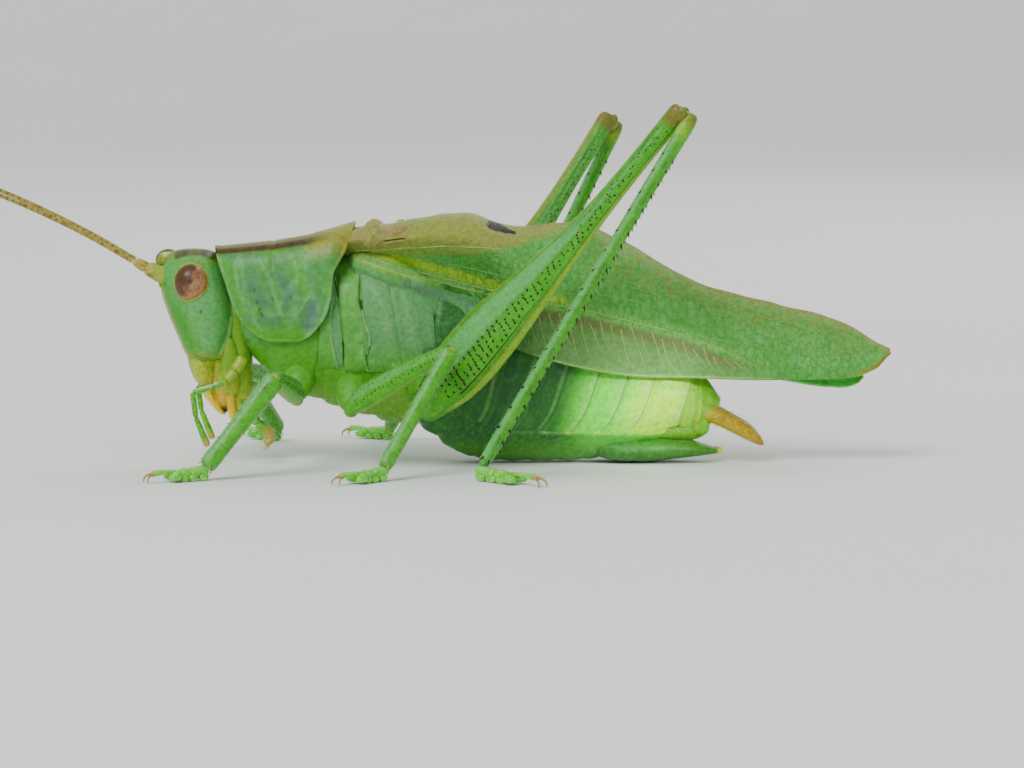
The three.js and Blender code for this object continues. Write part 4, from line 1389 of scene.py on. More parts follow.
def abdomen_end():
    """The last back plate, the flap over the vent and the two lobes beside it."""
    stations = []
    for x in (18.5, 18.8, 19.1, 19.35, 19.6, 19.82, 19.96, 20.06, 20.14, 20.18):
        section = cut(["abdomen_7", "abdomen_8", "abdomen_tip"], (x, 0, 0), (1, 0, 0))
        top, bottom, width = section[:, 2].max(), section[:, 2].min(), np.abs(section[:, 1]).max()
        bottom = max(bottom, 1.0)
        stations.append((x, (top - bottom) / 2, width, (top + bottom) / 2))
    body = lengthwise("end_body", 28, 0.9, stations)
    x, _, z = coordinates(body).T
    lean = x - 0.12 * np.sin((z - 1.4) * 1.6)
    height = 0.045 * peak(lean, 19.32, 0.1) - 0.05 * peak(lean, 19.18, 0.06)
    raised(body, height - 0.03 * peak(z + 0.5 * (x - 19.4), 2.3, 0.06) * within(x, 19.2, 19.5))
    flap = limb("flap", (19.55, 0, 2.86), (20.2, 0, 2.2), UP, [
        (0, 0.12, 0.4), (0.4, 0.15, 0.38), (0.8, 0.12, 0.28), (1, 0.05, 0.14)], 16)
    lobes = [limb("lobe", (19.15, sign * 0.62, 2.0), (19.62, sign * 0.45, 1.04), FORWARD, [
        (0, 0.3, 0.2), (0.3, 0.42, 0.3), (0.7, 0.36, 0.28), (0.92, 0.22, 0.2), (1, 0.1, 0.1)], 16)
            for sign in (-1, 1)]
    filling = limb("filling", (17.3, 0, 1.15), (19.75, 0, 1.25), UP, [
        (0, 0.3, 0.7), (0.3, 0.5, 0.95), (0.7, 0.5, 0.8), (1, 0.3, 0.45)], 16)
    # painted shade: the filling under the end is darkened
    noted(filling, "dark", 0.35)
    piece = joined("abdomen_end", [body, flap, filling, *lobes])
    x, _, z = coordinates(piece).T
    lean = x - 0.12 * np.sin((z - 1.4) * 1.6)
    return patterned(
        piece,
        # lime: painted sunlight on the upper end, over its own yellow-green
        lime=0.6 * within(z, 0.8, 1.2),
        olive=0.8 * within(lean, 19.1, 19.3) + 0.5 * within(z, 1.5, 1.0),
        yellow=0.5 * peak(lean, 19.3, 0.06) * within(z, 2.6, 2.2) + 0.3 * within(x, 19.95, 20.2))


def subgenital_plate():
    """The boat-shaped plate under the end, which comes out of the belly and narrows to two small styles."""
    high = corners("subgenital_plate")[1]

    def rim(x, z):
        return peak(z + 0.3 * within(x, 17.9, 20), 0.98, 0.07) * within(x, 17.6, 18.2)

    hull = limb("hull", (14.6, 0, 0.5), (high.x, 0, 0.44), UP, [
        (0, 0.1, 0.3, 0.6), (0.144, 0.36, 0.95, 0.22), (0.287, 0.47, 1.25, 0.04), (0.43, 0.49, 1.3, 0.04),
        (0.55, 0.49, 1.22, 0.06), (0.664, 0.43, 1.05, 0.07), (0.781, 0.33, 0.84, 0.06),
        (0.883, 0.21, 0.64, 0.01), (0.956, 0.13, 0.48, -0.01),
        (0.993, 0.08, 0.38, -0.02), (1, 0.04, 0.3, -0.02)],
        28, 3, 0.85)
    x, y, z = coordinates(hull).T
    keel = within(np.abs(y), 0.12, 0.0) * (z < 0.4) * within(x, 16.6, 17.4)
    raised(hull, 0.03 * rim(x, z) + 0.03 * keel - 0.03 * peak(x - 0.3 * z, 17.0, 0.06))
    styles = [limb("style", (high.x - 0.2, sign * 0.27, 0.45), (high.x + 0.14, sign * 0.31, 0.42), UP, [
        (0, 0.07, 0.07), (0.3, 0.1, 0.095), (0.8, 0.085, 0.08), (1, 0.03, 0.03)], 12) for sign in (-1, 1)]
    piece = joined("lower_end_plate", [hull, *styles])
    co = coordinates(piece)
    co[:, 2] = np.maximum(co[:, 2], 0.01)
    reshape(piece, co)
    x, _, z = co.T
    return patterned(
        piece,
        # bright: a little painted sunlight, stronger towards the top
        bright=0.08 * within(z, 0.3, 1.0),
        olive=0.1 + 0.15 * within(x, 17.5, 19),
        pale=0.25 * rim(x, z),
        yellow=within(x, high.x - 0.14, high.x - 0.02))


def cercus(side):
    sign = SIDES[side]
    arm = limb("arm", (19.5, sign * 0.62, 2.02), (21.76, sign * 0.5, 0.72), UP, [
        (0, 0.28, 0.26, -0.04), (0.12, 0.32, 0.29, -0.02), (0.3, 0.3, 0.27, 0.02), (0.5, 0.28, 0.26, 0.04),
        (0.66, 0.28, 0.26, 0.05), (0.78, 0.25, 0.23, 0.04), (0.88, 0.18, 0.17, 0.0),
        (0.96, 0.11, 0.1, -0.03), (1, 0.05, 0.05, -0.05)], 20)
    own = points_own(arm)
    patterned(arm, tip=within(own[:, 2], 2.1, 2.6) * 0.7, green=within(own[:, 2], 0.6, 0.1))
    tooth = limb("tooth", (20.55, sign * 0.55, 1.42), (20.75, sign * 0.16, 1.22), UP, [
        (0, 0.12, 0.12), (0.4, 0.09, 0.09, 0.03), (0.8, 0.05, 0.05, 0.02), (1, 0.015, 0.015)], 10)
    noted(tooth, "tip", 0.8)
    return joined(f"clasper_{side}", [arm, tooth])


# ------------------------------------------------------------------ wings

WING_START = 6.5
ROUNDNESS = smooth_between([(6.4, 0.55), (11.5, 0.6), (14.0, 0.95), (18.0, 1.2), (26.3, 1.25)])


def wing_stations():
    end = corners("forewing_left")[1].x
    rows = measured(
        ["forewing_left"], [7.15, 8.2, 9.5, 11.2, 12.0, 12.7, 13.8, 15.0, 16.7, 19.1, 22.2, 24.6, end - 0.1])
    first, second = np.array(rows[0]), np.array(rows[1])
    before = first + (first - second) * (first[0] - WING_START) / (second[0] - first[0])
    last = np.array(rows[-1])
    return [tuple(before)] + rows + [(end, last[1] - 0.04, last[2], last[3])]


WING = smooth_between(wing_stations())
WING_END = corners("forewing_left")[1].x - 0.02
# lines on the wing's side, as (x, height): the edge of the tan field and the main vein
TAN_LINE = smooth_between([
    (6.5, 7.45), (9, 7.62), (11.5, 7.7), (12.4, 7.85), (13.6, 8.15), (15.0, 8.35), (16.7, 7.62),
    (19.1, 6.32), (22.2, 5.45), (24.6, 4.85), (26.3, 4.0)])
MAIN_VEIN = smooth_between([
    (6.6, 7.58), (7.5, 7.28), (8.3, 7.0), (9.2, 6.74), (10.1, 6.55), (11.4, 6.22), (13.5, 5.82),
    (15.7, 5.42), (16.8, 5.14), (17.9, 4.86), (19.05, 4.55), (20.2, 4.05), (21.5, 3.72), (23.5, 3.55),
    (25.5, 3.6)])


def wing_surface(x, v, lift=0.0):
    """The outer face of a folded wing: v runs from the back edge to the lower edge; y counts outwards."""
    top, low, width = WING(x)
    (power,) = ROUNDNESS(x)
    low = low - 0.12 * peak(x, 25.2, 0.6)
    low = low + (top - low) * 0.85 * within(x, 25.7, WING_END + 0.1) ** 1.3
    turn = np.clip(v, 0, 1) * math.pi / 2
    y = 0.02 + (width - 0.02 + lift) * np.sin(turn) ** power
    z = low + (top - low + lift) * np.cos(turn) ** power
    tucked = within(v, 0.45, 1.0) * within(x, 13.6, 11.8)
    gap = 0.16 + 0.2 * between(x, 8.9, 9.5, 12.2, 11.4)
    gap = gap - (gap + 0.08) * within(v, 0.95, 1.0) * within(x, 12.2, 10.6)
    y = y + (np.minimum(flank(x, z) + gap + lift, y) - y) * tucked - 0.35 * within(x, 7.02, 6.6)
    return y, z - 0.14 * within(x, 7.02, 6.6)


def wing_share(x, z):
    """The v of a height on the wing's side."""
    top, low, _ = WING(x)
    (power,) = ROUNDNESS(x)
    share = np.clip((z - low) / (top - low), 0, 1) ** (1 / power)
    return np.arccos(share) * 2 / math.pi


def on_wing(sign, x, z, lift):
    y, z = wing_surface(x, wing_share(x, z), lift)
    return Vector((float(x), sign * float(y), float(z)))


def forewing(side):
    sign = SIDES[side]

    def place(u, v):
        x = WING_START + (WING_END - WING_START) * u
        cover = (0.16 if side == "left" else -0.02) * within(x, 12.6, 11.4)
        share = v * (1 + cover) - cover
        y, z = wing_surface(x, np.abs(share))
        y = np.where(share < 0, -y, y)
        z = z + 0.07 * within(x, 12.2, 11.0) * within(share, 0.5, 0.1) * (side == "left")
        ragged = 0.03 * np.sin(v * 37) * np.sin(v * 91) * within(u, 0.97, 1.0)
        return x + ragged, sign * y, z

    def own(u, v):
        x = WING_START + (WING_END - WING_START) * u
        top, low, width = WING(x)
        return [x, v * (0.62 * width + 0.95 * (top - low)), 0 * u]

    piece = bent_sheet(f"wing_{side}", 320, 110, place, 0.06, own, flip=side == "left")
    marked_wing(piece, sign)
    return piece


def wing_hinge(side):
    """The folded skin and the small plates of the wing's hinge, behind the pronotum."""
    sign = SIDES[side]
    parts = [
        limb("fold", (6.95, sign * 1.05, 8.05), (8.45, sign * 1.3, 8.2), UP, [
            (0, 0.06, 0.2), (0.2, 0.26, 0.44, 0.08), (0.42, 0.5, 0.5, 0.15), (0.52, 0.55, 0.48, 0.17),
            (0.7, 0.34, 0.42, 0.08),
            (0.88, 0.16, 0.34, 0.0), (1, 0.06, 0.16)], 14),
        limb("fold", (6.9, sign * 0.5, 8.2), (8.3, sign * 0.6, 8.3), UP, [
            (0, 0.1, 0.3), (0.4, 0.3, 0.45, 0.1), (0.8, 0.24, 0.4, 0.08), (1, 0.08, 0.2)], 14),
        ball("lump", (8.62, sign * 1.28, 8.46), (0.3, 0.32, 0.26), 28, 20),
        ball("lump", (8.92, sign * 1.0, 8.5), (0.2, 0.26, 0.13), 28, 20),
    ]
    piece = joined(f"wing_hinge_{side}", parts)
    co = coordinates(piece)
    x, y, z = co.T
    ripples = np.sin(x * 13 + y * 5) * np.sin(z * 11 - x * 4)
    raised(piece, 0.035 * ripples + 0.02 * np.sin(x * 27) * np.sin(z * 21))
    noted(piece, "own", co)
    return patterned(
        piece,
        tan=0.9,
        pink=0.45 + 0.5 * near(co, [(8.5, sign * 1.3, 8.4), (8.8, sign * 1.3, 8.5)], 0.3))


def marked_wing(piece, sign):
    co = coordinates(piece)
    x, y, z = co.T
    out = y * sign
    top, low, _ = WING(x)
    tan_line, vein = TAN_LINE(x)[0], MAIN_VEIN(x)[0]
    tan = within(z, tan_line - 0.15, tan_line + 0.12)
    crease = near(co, [(7.35, 8.02), (8.0, 8.08), (8.8, 8.19)], 0.035, sign)
    height = 0.035 * peak(z, vein, 0.09) + 0.02 * peak(z - vein, 0.24, 0.07)
    height += 0.015 * np.sin(x * 5 + z * 3) * within(tan, 0.2, 0.9)
    height += 0.03 * near(co, [(8.75, 8.36), (9.37, 8.6), (9.93, 8.75)], 0.1, sign) - 0.06 * crease
    raised(piece, height, wall=True)
    field = within(z, vein - 0.02, vein - 0.16) * between(x, 11.5, 13.5, 23.0, 20.5)
    below = vein - z
    brown = field * (0.6 * within(below, 0.6, 0.3) + 0.45) * within(x, 22.5, 19.5)
    ladder = between(-below, 0.22, 0.4, 1.7, 1.3) * between(x, 13.3, 15, 21.5, 19.5)
    rusty = within(-below, 0.9, 1.6) * within(x, 14.5, 17)
    rusty += 0.6 * within(x, 22.0, 25) * within(-below, 0.0, 0.6)
    shadow = near(co, [(8.9, 6.5), (10.6, 6.0), (12.0, 5.6), (13.5, 5.35)], 0.28, sign)
    # soft_front: the body's colour painted onto the wing's front, as if seen through it
    soft_front = within(below, 0.1, 0.5) * within(x, 13.4, 11.4) * 0.45
    vein_band = peak(z - vein, 0.1, 0.08 + 0.1 * within(x, 12, 16)) * within(x, 22.5, 20)
    vein_band += 0.5 * near(co, [(7.2, 7.7), (9.5, 7.85), (12.3, 7.85)], 0.1, sign)
    vein_band += 0.6 * within(z, low + 0.2, low + 0.08) * between(x, 13, 14.5, 23, 20)
    stripe_line = [(7.7, 7.66), (8.8, 7.36), (10.1, 7.0), (11.5, 6.62), (13, 6.3), (14.5, 5.95)]
    stripe = 0.95 * near(co, stripe_line, 0.17, sign) + 0.4 * peak(below, 0.02, 0.08) * within(x, 16, 9)
    # grey: the painted shadow under the main vein, the painted see-through at the front, and grey low in the
    # costal field
    grey = np.maximum(soft_front, 0.9 * shadow * (below > -0.1))
    grey += 0.35 * field * within(x, 17.5, 13.5) * within(below, 0.5, 0.8)
    edge = within(z, top - 0.14, top - 0.02) * within(x, 12.4, 13.2)
    tip = near(co, [(26.35, 4.1), (26.2, 3.85), (25.8, 3.52)], 0.12, sign)
    rim = within(z, low + 0.16, low + 0.06) * within(x, 24.8, 25.4) * 0.7
    mark = near(co, [(11.88, 8.66), (12.05, 8.62)], 0.16, sign)
    mark += near(co, [(12.1, 8.58), (12.4, 8.46)], 0.11, sign)
    mark += near(co, [(12.4, 8.46), (12.72, 8.36)], 0.06, sign)
    patterned(
        piece,
        tan=tan * (0.92 - 0.8 * within(x, 12.6, 16.5)),
        brown=brown,
        grey=grey,
        stripe=stripe,
        vein=0.75 * vein_band,
        rusty=rusty * within(z, low, low + 0.8),
        netted=(1 - tan) * (1 - 0.7 * ladder) * (0.8 - 0.6 * field) * within(x, 9, 12),
        ladder=ladder * 0.75,
        netted_tan=tan * 0.4 * within(x, 9.5, 10.5),
        pink=0.7 * near(co, [(7.2, sign * 1.3, 8.3), (8.6, sign * 1.2, 8.3)], 0.4),
        edge=edge * 0.75 + tip + rim,
        # dark: the black mark, and a painted shadow line in the crease under the hinge's folds
        dark=within(mark, 0.35, 0.6) * (out > 0.1) + 0.9 * within(crease, 0.3, 0.7))


def wing_veins(side):
    """The main veins stand proud of the wing; three sets in their own colours."""
    sign = SIDES[side]

    def run(points, lift=0.03, count=40):
        stations = smooth_between(points)
        xs = np.linspace(points[0][0], points[-1][0], count)
        return [on_wing(sign, x, float(stations(x)[0]), lift) for x in xs]

    vein = [(x, float(MAIN_VEIN(x)[0])) for x in np.linspace(6.9, 21.5, 16)]
    pale = [run(vein, 0.0), run([(x, z + 0.22 - 0.006 * (x - 6) ** 1.2) for x, z in vein[1:]], 0.0)]
    pale += [run([
        (6.9, 7.74), (7.7, 7.76), (8.5, 7.82), (9.4, 7.87), (10.3, 7.92), (11.5, 7.87),
        (12.4, 7.84)], 0.0)]
    pale += [run([(8.75, 8.33), (9.37, 8.58), (9.93, 8.73), (11.07, 8.8), (11.8, 8.68)], 0.0)]
    pale += [run([(x, float(WING(x)[1]) + 0.06) for x in np.linspace(13.6, 22, 12)], 0.0)]
    radii = [(0.05, 0.022), (0.035, 0.018), (0.035, 0.02), (0.035, 0.02), (0.03, 0.035)]
    thin = [run([(7.8, 7.7), (9.4, 7.42), (11.5, 7.01), (12.6, 6.75), (14, 6.4), (16, 5.95)], 0.0),
            run([(12, 7.6), (14, 7.3), (16, 6.7), (18.5, 5.95), (21, 5.1), (24, 4.4)], 0.0),
            run([(14.5, 6.4), (17, 5.95), (19.5, 5.15), (22, 4.5), (25, 4.05)], 0.0),
            run([(19, 4.75), (21, 4.35), (23.5, 3.95), (25.8, 3.85)], 0.0),
            run([(15.5, 7.5), (18, 6.5), (20.5, 5.6), (23.5, 4.9)], 0.0)]
    slanting = []
    for x in np.arange(13.2, 21.4, 0.37):
        start = float(MAIN_VEIN(x)[0]) - 0.18 - 0.12 * math.sin(x * 7)
        reach = 0.42 + 0.08 * math.sin(x * 5)
        low = float(WING(x + reach)[1]) + 0.16 + 0.1 * math.sin(x * 11)
        low = start + (low - start) * (0.78 + 0.14 * math.sin(x * 13))
        middle = (x + reach * (0.4 + 0.1 * math.sin(x * 9)), start + (low - start) * 0.5)
        slanting.append(run([(x, start), middle, (x + reach, low)], -0.005, 12))
    sets = {
        "pale_veins": (pale, radii), "green_veins": (thin, [(0.022, 0.016)] * len(thin)),
        "yellow_veins": (slanting, [(0.024, 0.011)] * len(slanting)),
    }
    return {name: strands(f"{name}_{side}", paths, sizes, 6) for name, (paths, sizes) in sets.items()}


def hindwing(side):
    """A folded blade between the forewings, whose end shows under them."""
    sign = SIDES[side]
    low_corner, high_corner = corners(f"hindwing_{side}")
    rows = measured([f"hindwing_{side}"], np.linspace(low_corner.x + 0.3, high_corner.x - 0.06, 14))
    size = smooth_between([(x, top, low) for x, top, low, _ in rows])
    lower_edge = smooth_between([
        (9, 4.2), (19, 3.3), (21.8, 3.12), (22.6, 2.97), (24.1, 2.76), (24.8, 2.78), (25.2, 3.0), (25.4, 3.3)
    ])

    def place(u, v):
        x = low_corner.x + 0.2 + (high_corner.x - low_corner.x - 0.2) * u
        top, low = size(x)
        low = np.where(x > 21.5, lower_edge(x)[0], np.maximum(low, lower_edge(x)[0]))
        top = np.minimum(top, WING(x)[0] - 0.35)
        flare = 0.4 * within(x, 20, 23) * within(v, 0.25, 0.0)
        return x, sign * (0.17 + flare + 0.05 * np.sin(v * 34) * within(u, 1.0, 0.9)), low + (top - low) * v

    piece = bent_sheet(
        f"hind_blade_{side}", 110, 70, place, 0.06, lambda u, v: [16 * u, 3 * v, 0 * u], flip=side == "right"
    )
    own = points_own(piece)
    return noted(piece, "edge", 0.5 * within(own[:, 0], 15.7, 15.95))


# ------------------------------------------------------------------ legs

class Bone:
    """A leg joint's shape: stations (share, half depth, half width, shift) along a straight line."""

    def __init__(self, start, end, over, stations, power=0.9):
        self.start, self.end = Vector(start), Vector(end)
        self.length = (self.end - self.start).length
        self.along = (self.end - self.start).normalized()
        self.beside = self.along.cross(Vector(over)).normalized()
        self.up = self.beside.cross(self.along)
        self.stations, self.power = stations, power
        self.size = smooth_between(stations)

    def inside(self, share, rise):
        """A point on the limb's middle plane, a rise away from its straight line."""
        return self.start + self.along * (share * self.length) + self.up * rise

    def skin(self, share, height, face, lift=0.0):
        """A point on the surface: height -1..1 across its depth, face the side that it lies on."""
        deep, wide, shift = (float(value) for value in self.size(share))
        out = (1 - min(abs(height), 0.999) ** (2 / self.power)) ** (self.power / 2)
        way = (self.up * (height / deep) + self.beside * (face * out / wide)).normalized()
        place = self.inside(share, shift + deep * height) + self.beside * (face * wide * out)
        return place + way * lift, way

    def shape(self, name, sides=20, levels=2):
        return limb(name, self.start, self.end, self.up, self.stations, sides, levels, self.power)


def leg_line(name):
    """The hip, the knee, both ends of the shin and the foot's heel and toe, from a leg's three CAD nodes."""
    low, high = corners("mesothorax")
    hip, knee = ends(f"femur_{name}", (low + high) / 2)
    top, ankle = ends(f"tibia_{name}", knee)
    heel, toe = ends(f"tarsus_{name}", ankle)
    heel.z = toe.z = 0
    return hip, knee, top, ankle, heel, toe


def thigh_stations(name, hip, knee, over):
    """Depth, width and shift of a thigh, measured on its CAD node."""
    node = f"femur_{name}"
    along = (knee - hip).normalized()
    beside = along.cross(over).normalized()
    up = beside.cross(along)
    length = (knee - hip).length
    far = float(((points_of(node) - np.array(hip)) @ np.array(along)).max()) / length
    shares = (0.06, 0.1, 0.17, 0.24, 0.31, 0.38, 0.46, 0.54, 0.62, 0.72, 0.82, 0.9, 0.945)
    rows = []
    for share in (*shares, far - 0.03, far - 0.014):
        section = cut([node], hip + along * (share * length), along) - np.array(hip)
        deep, wide = section @ np.array(up), section @ np.array(beside)
        half_deep, half_wide = (deep.max() - deep.min()) / 2, (wide.max() - wide.min()) / 2
        rows.append((share, half_deep, half_wide, (deep.max() + deep.min()) / 2))
    first, last = rows[0], rows[-1]
    rows.insert(0, (0.015, first[1] * 0.8, first[2] * 0.85, first[3]))
    rows.insert(0, (-0.02, first[1] * 0.5, first[2] * 0.55, first[3]))
    return rows + [(far, last[1] * 0.72, last[2] * 0.75, last[3])]


def thigh(name, bone):
    piece = bone.shape(f"thigh_{name}", 28, 2)
    own = points_own(piece)
    share = own[:, 2] / bone.length
    deep, _, shift = bone.size(share)
    height = (own[:, 0] - shift) / np.maximum(deep, 0.05)
    hind = name.startswith("hind")
    body = between(share, 0.02, 0.08, 0.965, 0.93)
    stripe = between(height, -0.05, 0.2, 0.85, 0.65) * between(share, 0.03, 0.15, 0.75, 0.5)
    thin_stripe = peak(height, 0.22, 0.16) * between(share, 0.5, 0.75, 0.96, 0.9)
    end = within(share, 0.93, 0.97)
    patterned(
        piece,
        lime=within(height, -0.76, -0.9) * body * (0.9 if hind else 0.3),
        crest=within(height, -0.965, -0.99) * body * (0.7 if hind else 0.1),
        tan=within(height, 0.86, 0.96) * body * (0.6 if hind else 0.2),
        pale=(stripe + 0.9 * thin_stripe) * (0.95 if hind else 0.7),
        bright=0.85 * between(height, -0.85, -0.65, 0.05, -0.2) * body,
        knee=end * (0.95 if hind else 0.15),
        plum=0.6 * within(share, 0.975, 0.995) * peak(height, -0.1, 0.45) * hind,
        speckled=0.5 * within(height, 0.9, 0.7))
    ridge = 0.02 * peak(height, 0.62, 0.1) + 0.02 * peak(height, -0.7, 0.08) + 0.035 * peak(height, -1, 0.06)
    return raised(piece, ridge * between(share, 0.04, 0.12, 0.96, 0.9) * (1 if hind else 0.5))


def knee_lobes(name, bone, hinge, radius):
    """A rounded lobe on each face of the knee and the soft joint in which the shin swings."""
    deep, wide, shift = (float(value) for value in bone.size(0.97))
    hind = name.startswith("hind")
    lobes = []
    for face in (-1, 1):
        place = bone.inside(0.985, shift - deep * 0.35) + bone.beside * (face * wide * 0.72)
        lobe = ball("lobe", (0, 0, 0), (deep * 0.62, wide * 0.36, deep * 0.8))
        lobes.append(noted(set_at(lobe, place, bone.along, bone.up), "knee", 0.8 if hind else 0.15))
    inner = bone.inside(0.975, shift - deep * 0.3)
    joint = limb("joint", inner, hinge, bone.along, [
        (0, radius * 0.8, radius * 0.7), (0.4, radius * 0.95, radius * 0.8),
        (0.8, radius * 0.95, radius * 0.82), (1.1, radius * 0.5, radius * 0.5)], 16)
    noted(joint, "lime", 0.75)
    return joined(f"knee_lobes_{name}", [joint, *lobes])


def shin_stations(size, swell):
    """A shin's stations from its half width, with a swelling under the knee and a wider end."""
    shares = {0: (0.75, 0.7), 0.015: (1.08, 1), 0.04: (1.2, 1.08), 0.08: (1.1, 1.05), 0.14: (swell, swell),
              0.3: (1.02, 1), 0.8: (0.92, 0.92), 0.95: (1.02, 1.02), 1: (0.85, 0.85)}
    return [(share, size * deep, size * wide, 0) for share, (deep, wide) in shares.items()]


def shin(name, bone):
    piece = bone.shape(f"shin_{name}", 18, 2)
    own = points_own(piece)
    share = own[:, 2] / bone.length
    hind = name.startswith("hind")
    patterned(
        piece,
        pale=0.75 * within(own[:, 0], -0.06, 0.12) + 0.3 * within(share, 0.9, 0.98),
        bright=0.6 * within(own[:, 0], -0.04, -0.16),
        knee=within(share, 0.05, 0.015) * (0.8 if hind else 0.15),
        lime=0.7 * within(share, 0.09, 0.05) * hind,
        speckled=0.6)
    if name.startswith("front"):
        noted(piece, "dark", 0.9 * peak(own[:, 2], 0.14 * bone.length, 0.22) * peak(own[:, 0], 0.04, 0.045))
    return piece


def shin_spines(name, bone):
    hind = name.startswith("hind")
    spike = added("spike", "cone", vertices=7, radius1=1, radius2=0.12, depth=1, location=(0, 0, 0.5))
    bpy.ops.object.transform_apply(location=True)
    places = []
    rows = [(-0.8, 0.5, 0.26), (0.75, 0.8, 0.16)] if hind else [(0.8, 0.62, 0.26)]
    for height, gap, reach in rows:
        for face in (-1, 1):
            for step in range(int(bone.length * 0.84 / gap)):
                share = 0.13 + (step + 0.25 * face + rng.uniform(-0.08, 0.08)) * gap / bone.length
                root, way = bone.skin(share, height, face * 0.9, -0.03)
                way = way + bone.along * 0.9
                thick = 0.05 if hind else 0.028
                growth = 0.6 + 0.4 * min(1, share * 2.5)
                places.append(
                    aimed(root, way, bone.up, (thick, thick, reach * growth * rng.uniform(0.85, 1.15))))
    for height, face in ((-0.6, 1), (-0.6, -1), (0.6, 1), (0.6, -1)):
        root, way = bone.skin(0.975, height, face, -0.03)
        places.append(aimed(root, way * 0.5 + bone.along, bone.up, (0.035, 0.035, 0.34 if hind else 0.24)))
    return copied(f"shin_spines_{name}", spike, places)


def thigh_dots(bone, name):
    """Dark dots in slanting rows on both faces of a hind thigh, thinning out towards the knee."""
    dot = added("dot", "uv_sphere", segments=6, ring_count=4, radius=1)
    places = []
    for face in (-1, 1):
        rows = int(bone.length * 0.72 / 0.26)
        for row in range(rows):
            share = 0.08 + row * 0.26 / bone.length
            fade = row / rows
            count = max(2, round(7 * (1 - fade) ** 0.75 * min(1, (row + 2) / 5)))
            for step in range(count):
                height = -0.6 + (0.72 - 0.2 * fade) * (step + 0.5) / count + rng.uniform(-0.03, 0.03)
                slant = 0.022 * (height + 0.3) + rng.uniform(-0.002, 0.002)
                if rng.random() < 0.05 + 0.45 * fade:
                    continue
                root, way = bone.skin(share + slant, height, face, 0.002)
                long = rng.uniform(0.05, 0.085) * (1 - 0.35 * fade)
                turn = bone.up + bone.along * rng.uniform(-0.2, 0.9)
                places.append(aimed(root, way, turn, (long, 0.037, 0.018)))
        for step in range(40):
            root, way = bone.skin(0.6 + step * 0.0085, rng.uniform(-0.55, 0.6), face, 0.002)
            if rng.random() < 0.75:
                places.append(aimed(root, way, bone.along, (rng.uniform(0.03, 0.05), 0.03, 0.014)))
        for step in range(60):
            share, height = 0.08 + step * 0.0135, 0.66 + rng.uniform(-0.06, 0.06)
            root, way = bone.skin(share, height, face, 0.001)
            if rng.random() < 0.6:
                places.append(aimed(root, way, bone.up, (0.024, 0.02, 0.012)))
        for step in range(90):
            root, way = bone.skin(0.07 + step * 0.0095, -0.82, face, 0.002)
            places.append(aimed(root, way, bone.along, (0.03 * rng.uniform(0.4, 1.1), 0.016, 0.01)))
    dots = copied(f"thigh_dots_{name}", dot, places)
    lines = [
        [bone.skin(share, -0.68, face, 0.003)[0] for share in np.linspace(0.1, 0.5, 40)] for face in (-1, 1)]
    return joined(f"thigh_dots_{name}", [dots, strands("line", lines, [(0.02, 0.01)] * 2, 5)])


def thigh_specks(bone, name):
    """Small dots in two loose rows on a front or middle thigh."""
    dot = added("dot", "uv_sphere", segments=6, ring_count=4, radius=1)
    places = []
    for face in (-1, 1):
        for height in (-0.3, -0.12, 0.5):
            for step in range(int(bone.length / 0.24)):
                if rng.random() < 0.35:
                    continue
                root, way = bone.skin(
                    0.12 + step * 0.2 / bone.length, height + rng.uniform(-0.1, 0.1), face, 0.001)
                places.append(aimed(root, way, bone.up, (rng.uniform(0.028, 0.045), 0.025, 0.014)))
    return copied(f"thigh_specks_{name}", dot, places)


def foot():
    """A foot along +X, its sole on the floor: two joints, one with two lobes, a claw joint, and pads."""
    joints = [
        limb("joint", (-0.12, 0, 0.38), (0.66, 0, 0.3), UP, [
            (0, 0.14, 0.14), (0.12, 0.2, 0.19), (0.45, 0.18, 0.18), (0.75, 0.2, 0.22), (0.92, 0.2, 0.24),
            (1, 0.12, 0.15)], 16),
        limb("joint", (0.6, 0, 0.3), (1.08, 0, 0.28), UP, [
            (0, 0.12, 0.14), (0.25, 0.18, 0.21), (0.75, 0.21, 0.26), (1, 0.13, 0.18)], 16),
        limb("joint", (1.2, 0, 0.32), (2.2, 0, 0.3), UP, [
            (0, 0.1, 0.1), (0.25, 0.085, 0.09, 0.05), (0.65, 0.095, 0.1, 0.07), (0.9, 0.14, 0.13, 0.03),
            (1, 0.07, 0.07, 0.01)], 12),
    ]
    for sign in (-1, 1):
        joints.append(limb("lobe", (0.98, sign * 0.1, 0.28), (1.56, sign * 0.34, 0.17), UP, [
            (0, 0.12, 0.1), (0.3, 0.19, 0.2), (0.65, 0.17, 0.22), (0.9, 0.1, 0.15), (1, 0.04, 0.06)], 16))
        joints.append(ball("pad", (0.1, sign * 0.09, 0.15), (0.2, 0.12, 0.14), 20, 14))
        joints.append(ball("pad", (0.55, sign * 0.12, 0.14), (0.2, 0.15, 0.135), 20, 14))
        joints.append(ball("pad", (0.95, sign * 0.15, 0.13), (0.19, 0.16, 0.125), 20, 14))
    piece = joined("foot_joints", joints)
    co = coordinates(piece)
    co[:, 2] = np.maximum(co[:, 2], 0.006)
    noted(reshape(piece, co), "own", co)
    x, _, z = co.T
    return patterned(
        piece,
        pale=within(z, 0.36, 0.48) * 0.5 + within(z, 0.12, 0.04) * 0.6,
        knee=within(x, 2.0, 2.18) * 0.8)


def claws():
    """Two hooked claws."""
    hooks = []
    for sign in (-1, 1):
        path = [
            (2.12, sign * 0.05, 0.3), (2.26, sign * 0.12, 0.29), (2.38, sign * 0.18, 0.2),
            (2.42, sign * 0.2, 0.08), (2.38, sign * 0.2, 0.012)]
        curve = smooth_between([(i, *point) for i, point in enumerate(path)])
        hooks.append([tuple(curve(step)) for step in np.linspace(0, 4, 13)])
    return strands("claws", hooks, [(0.06, 0.012)] * 2, 8)


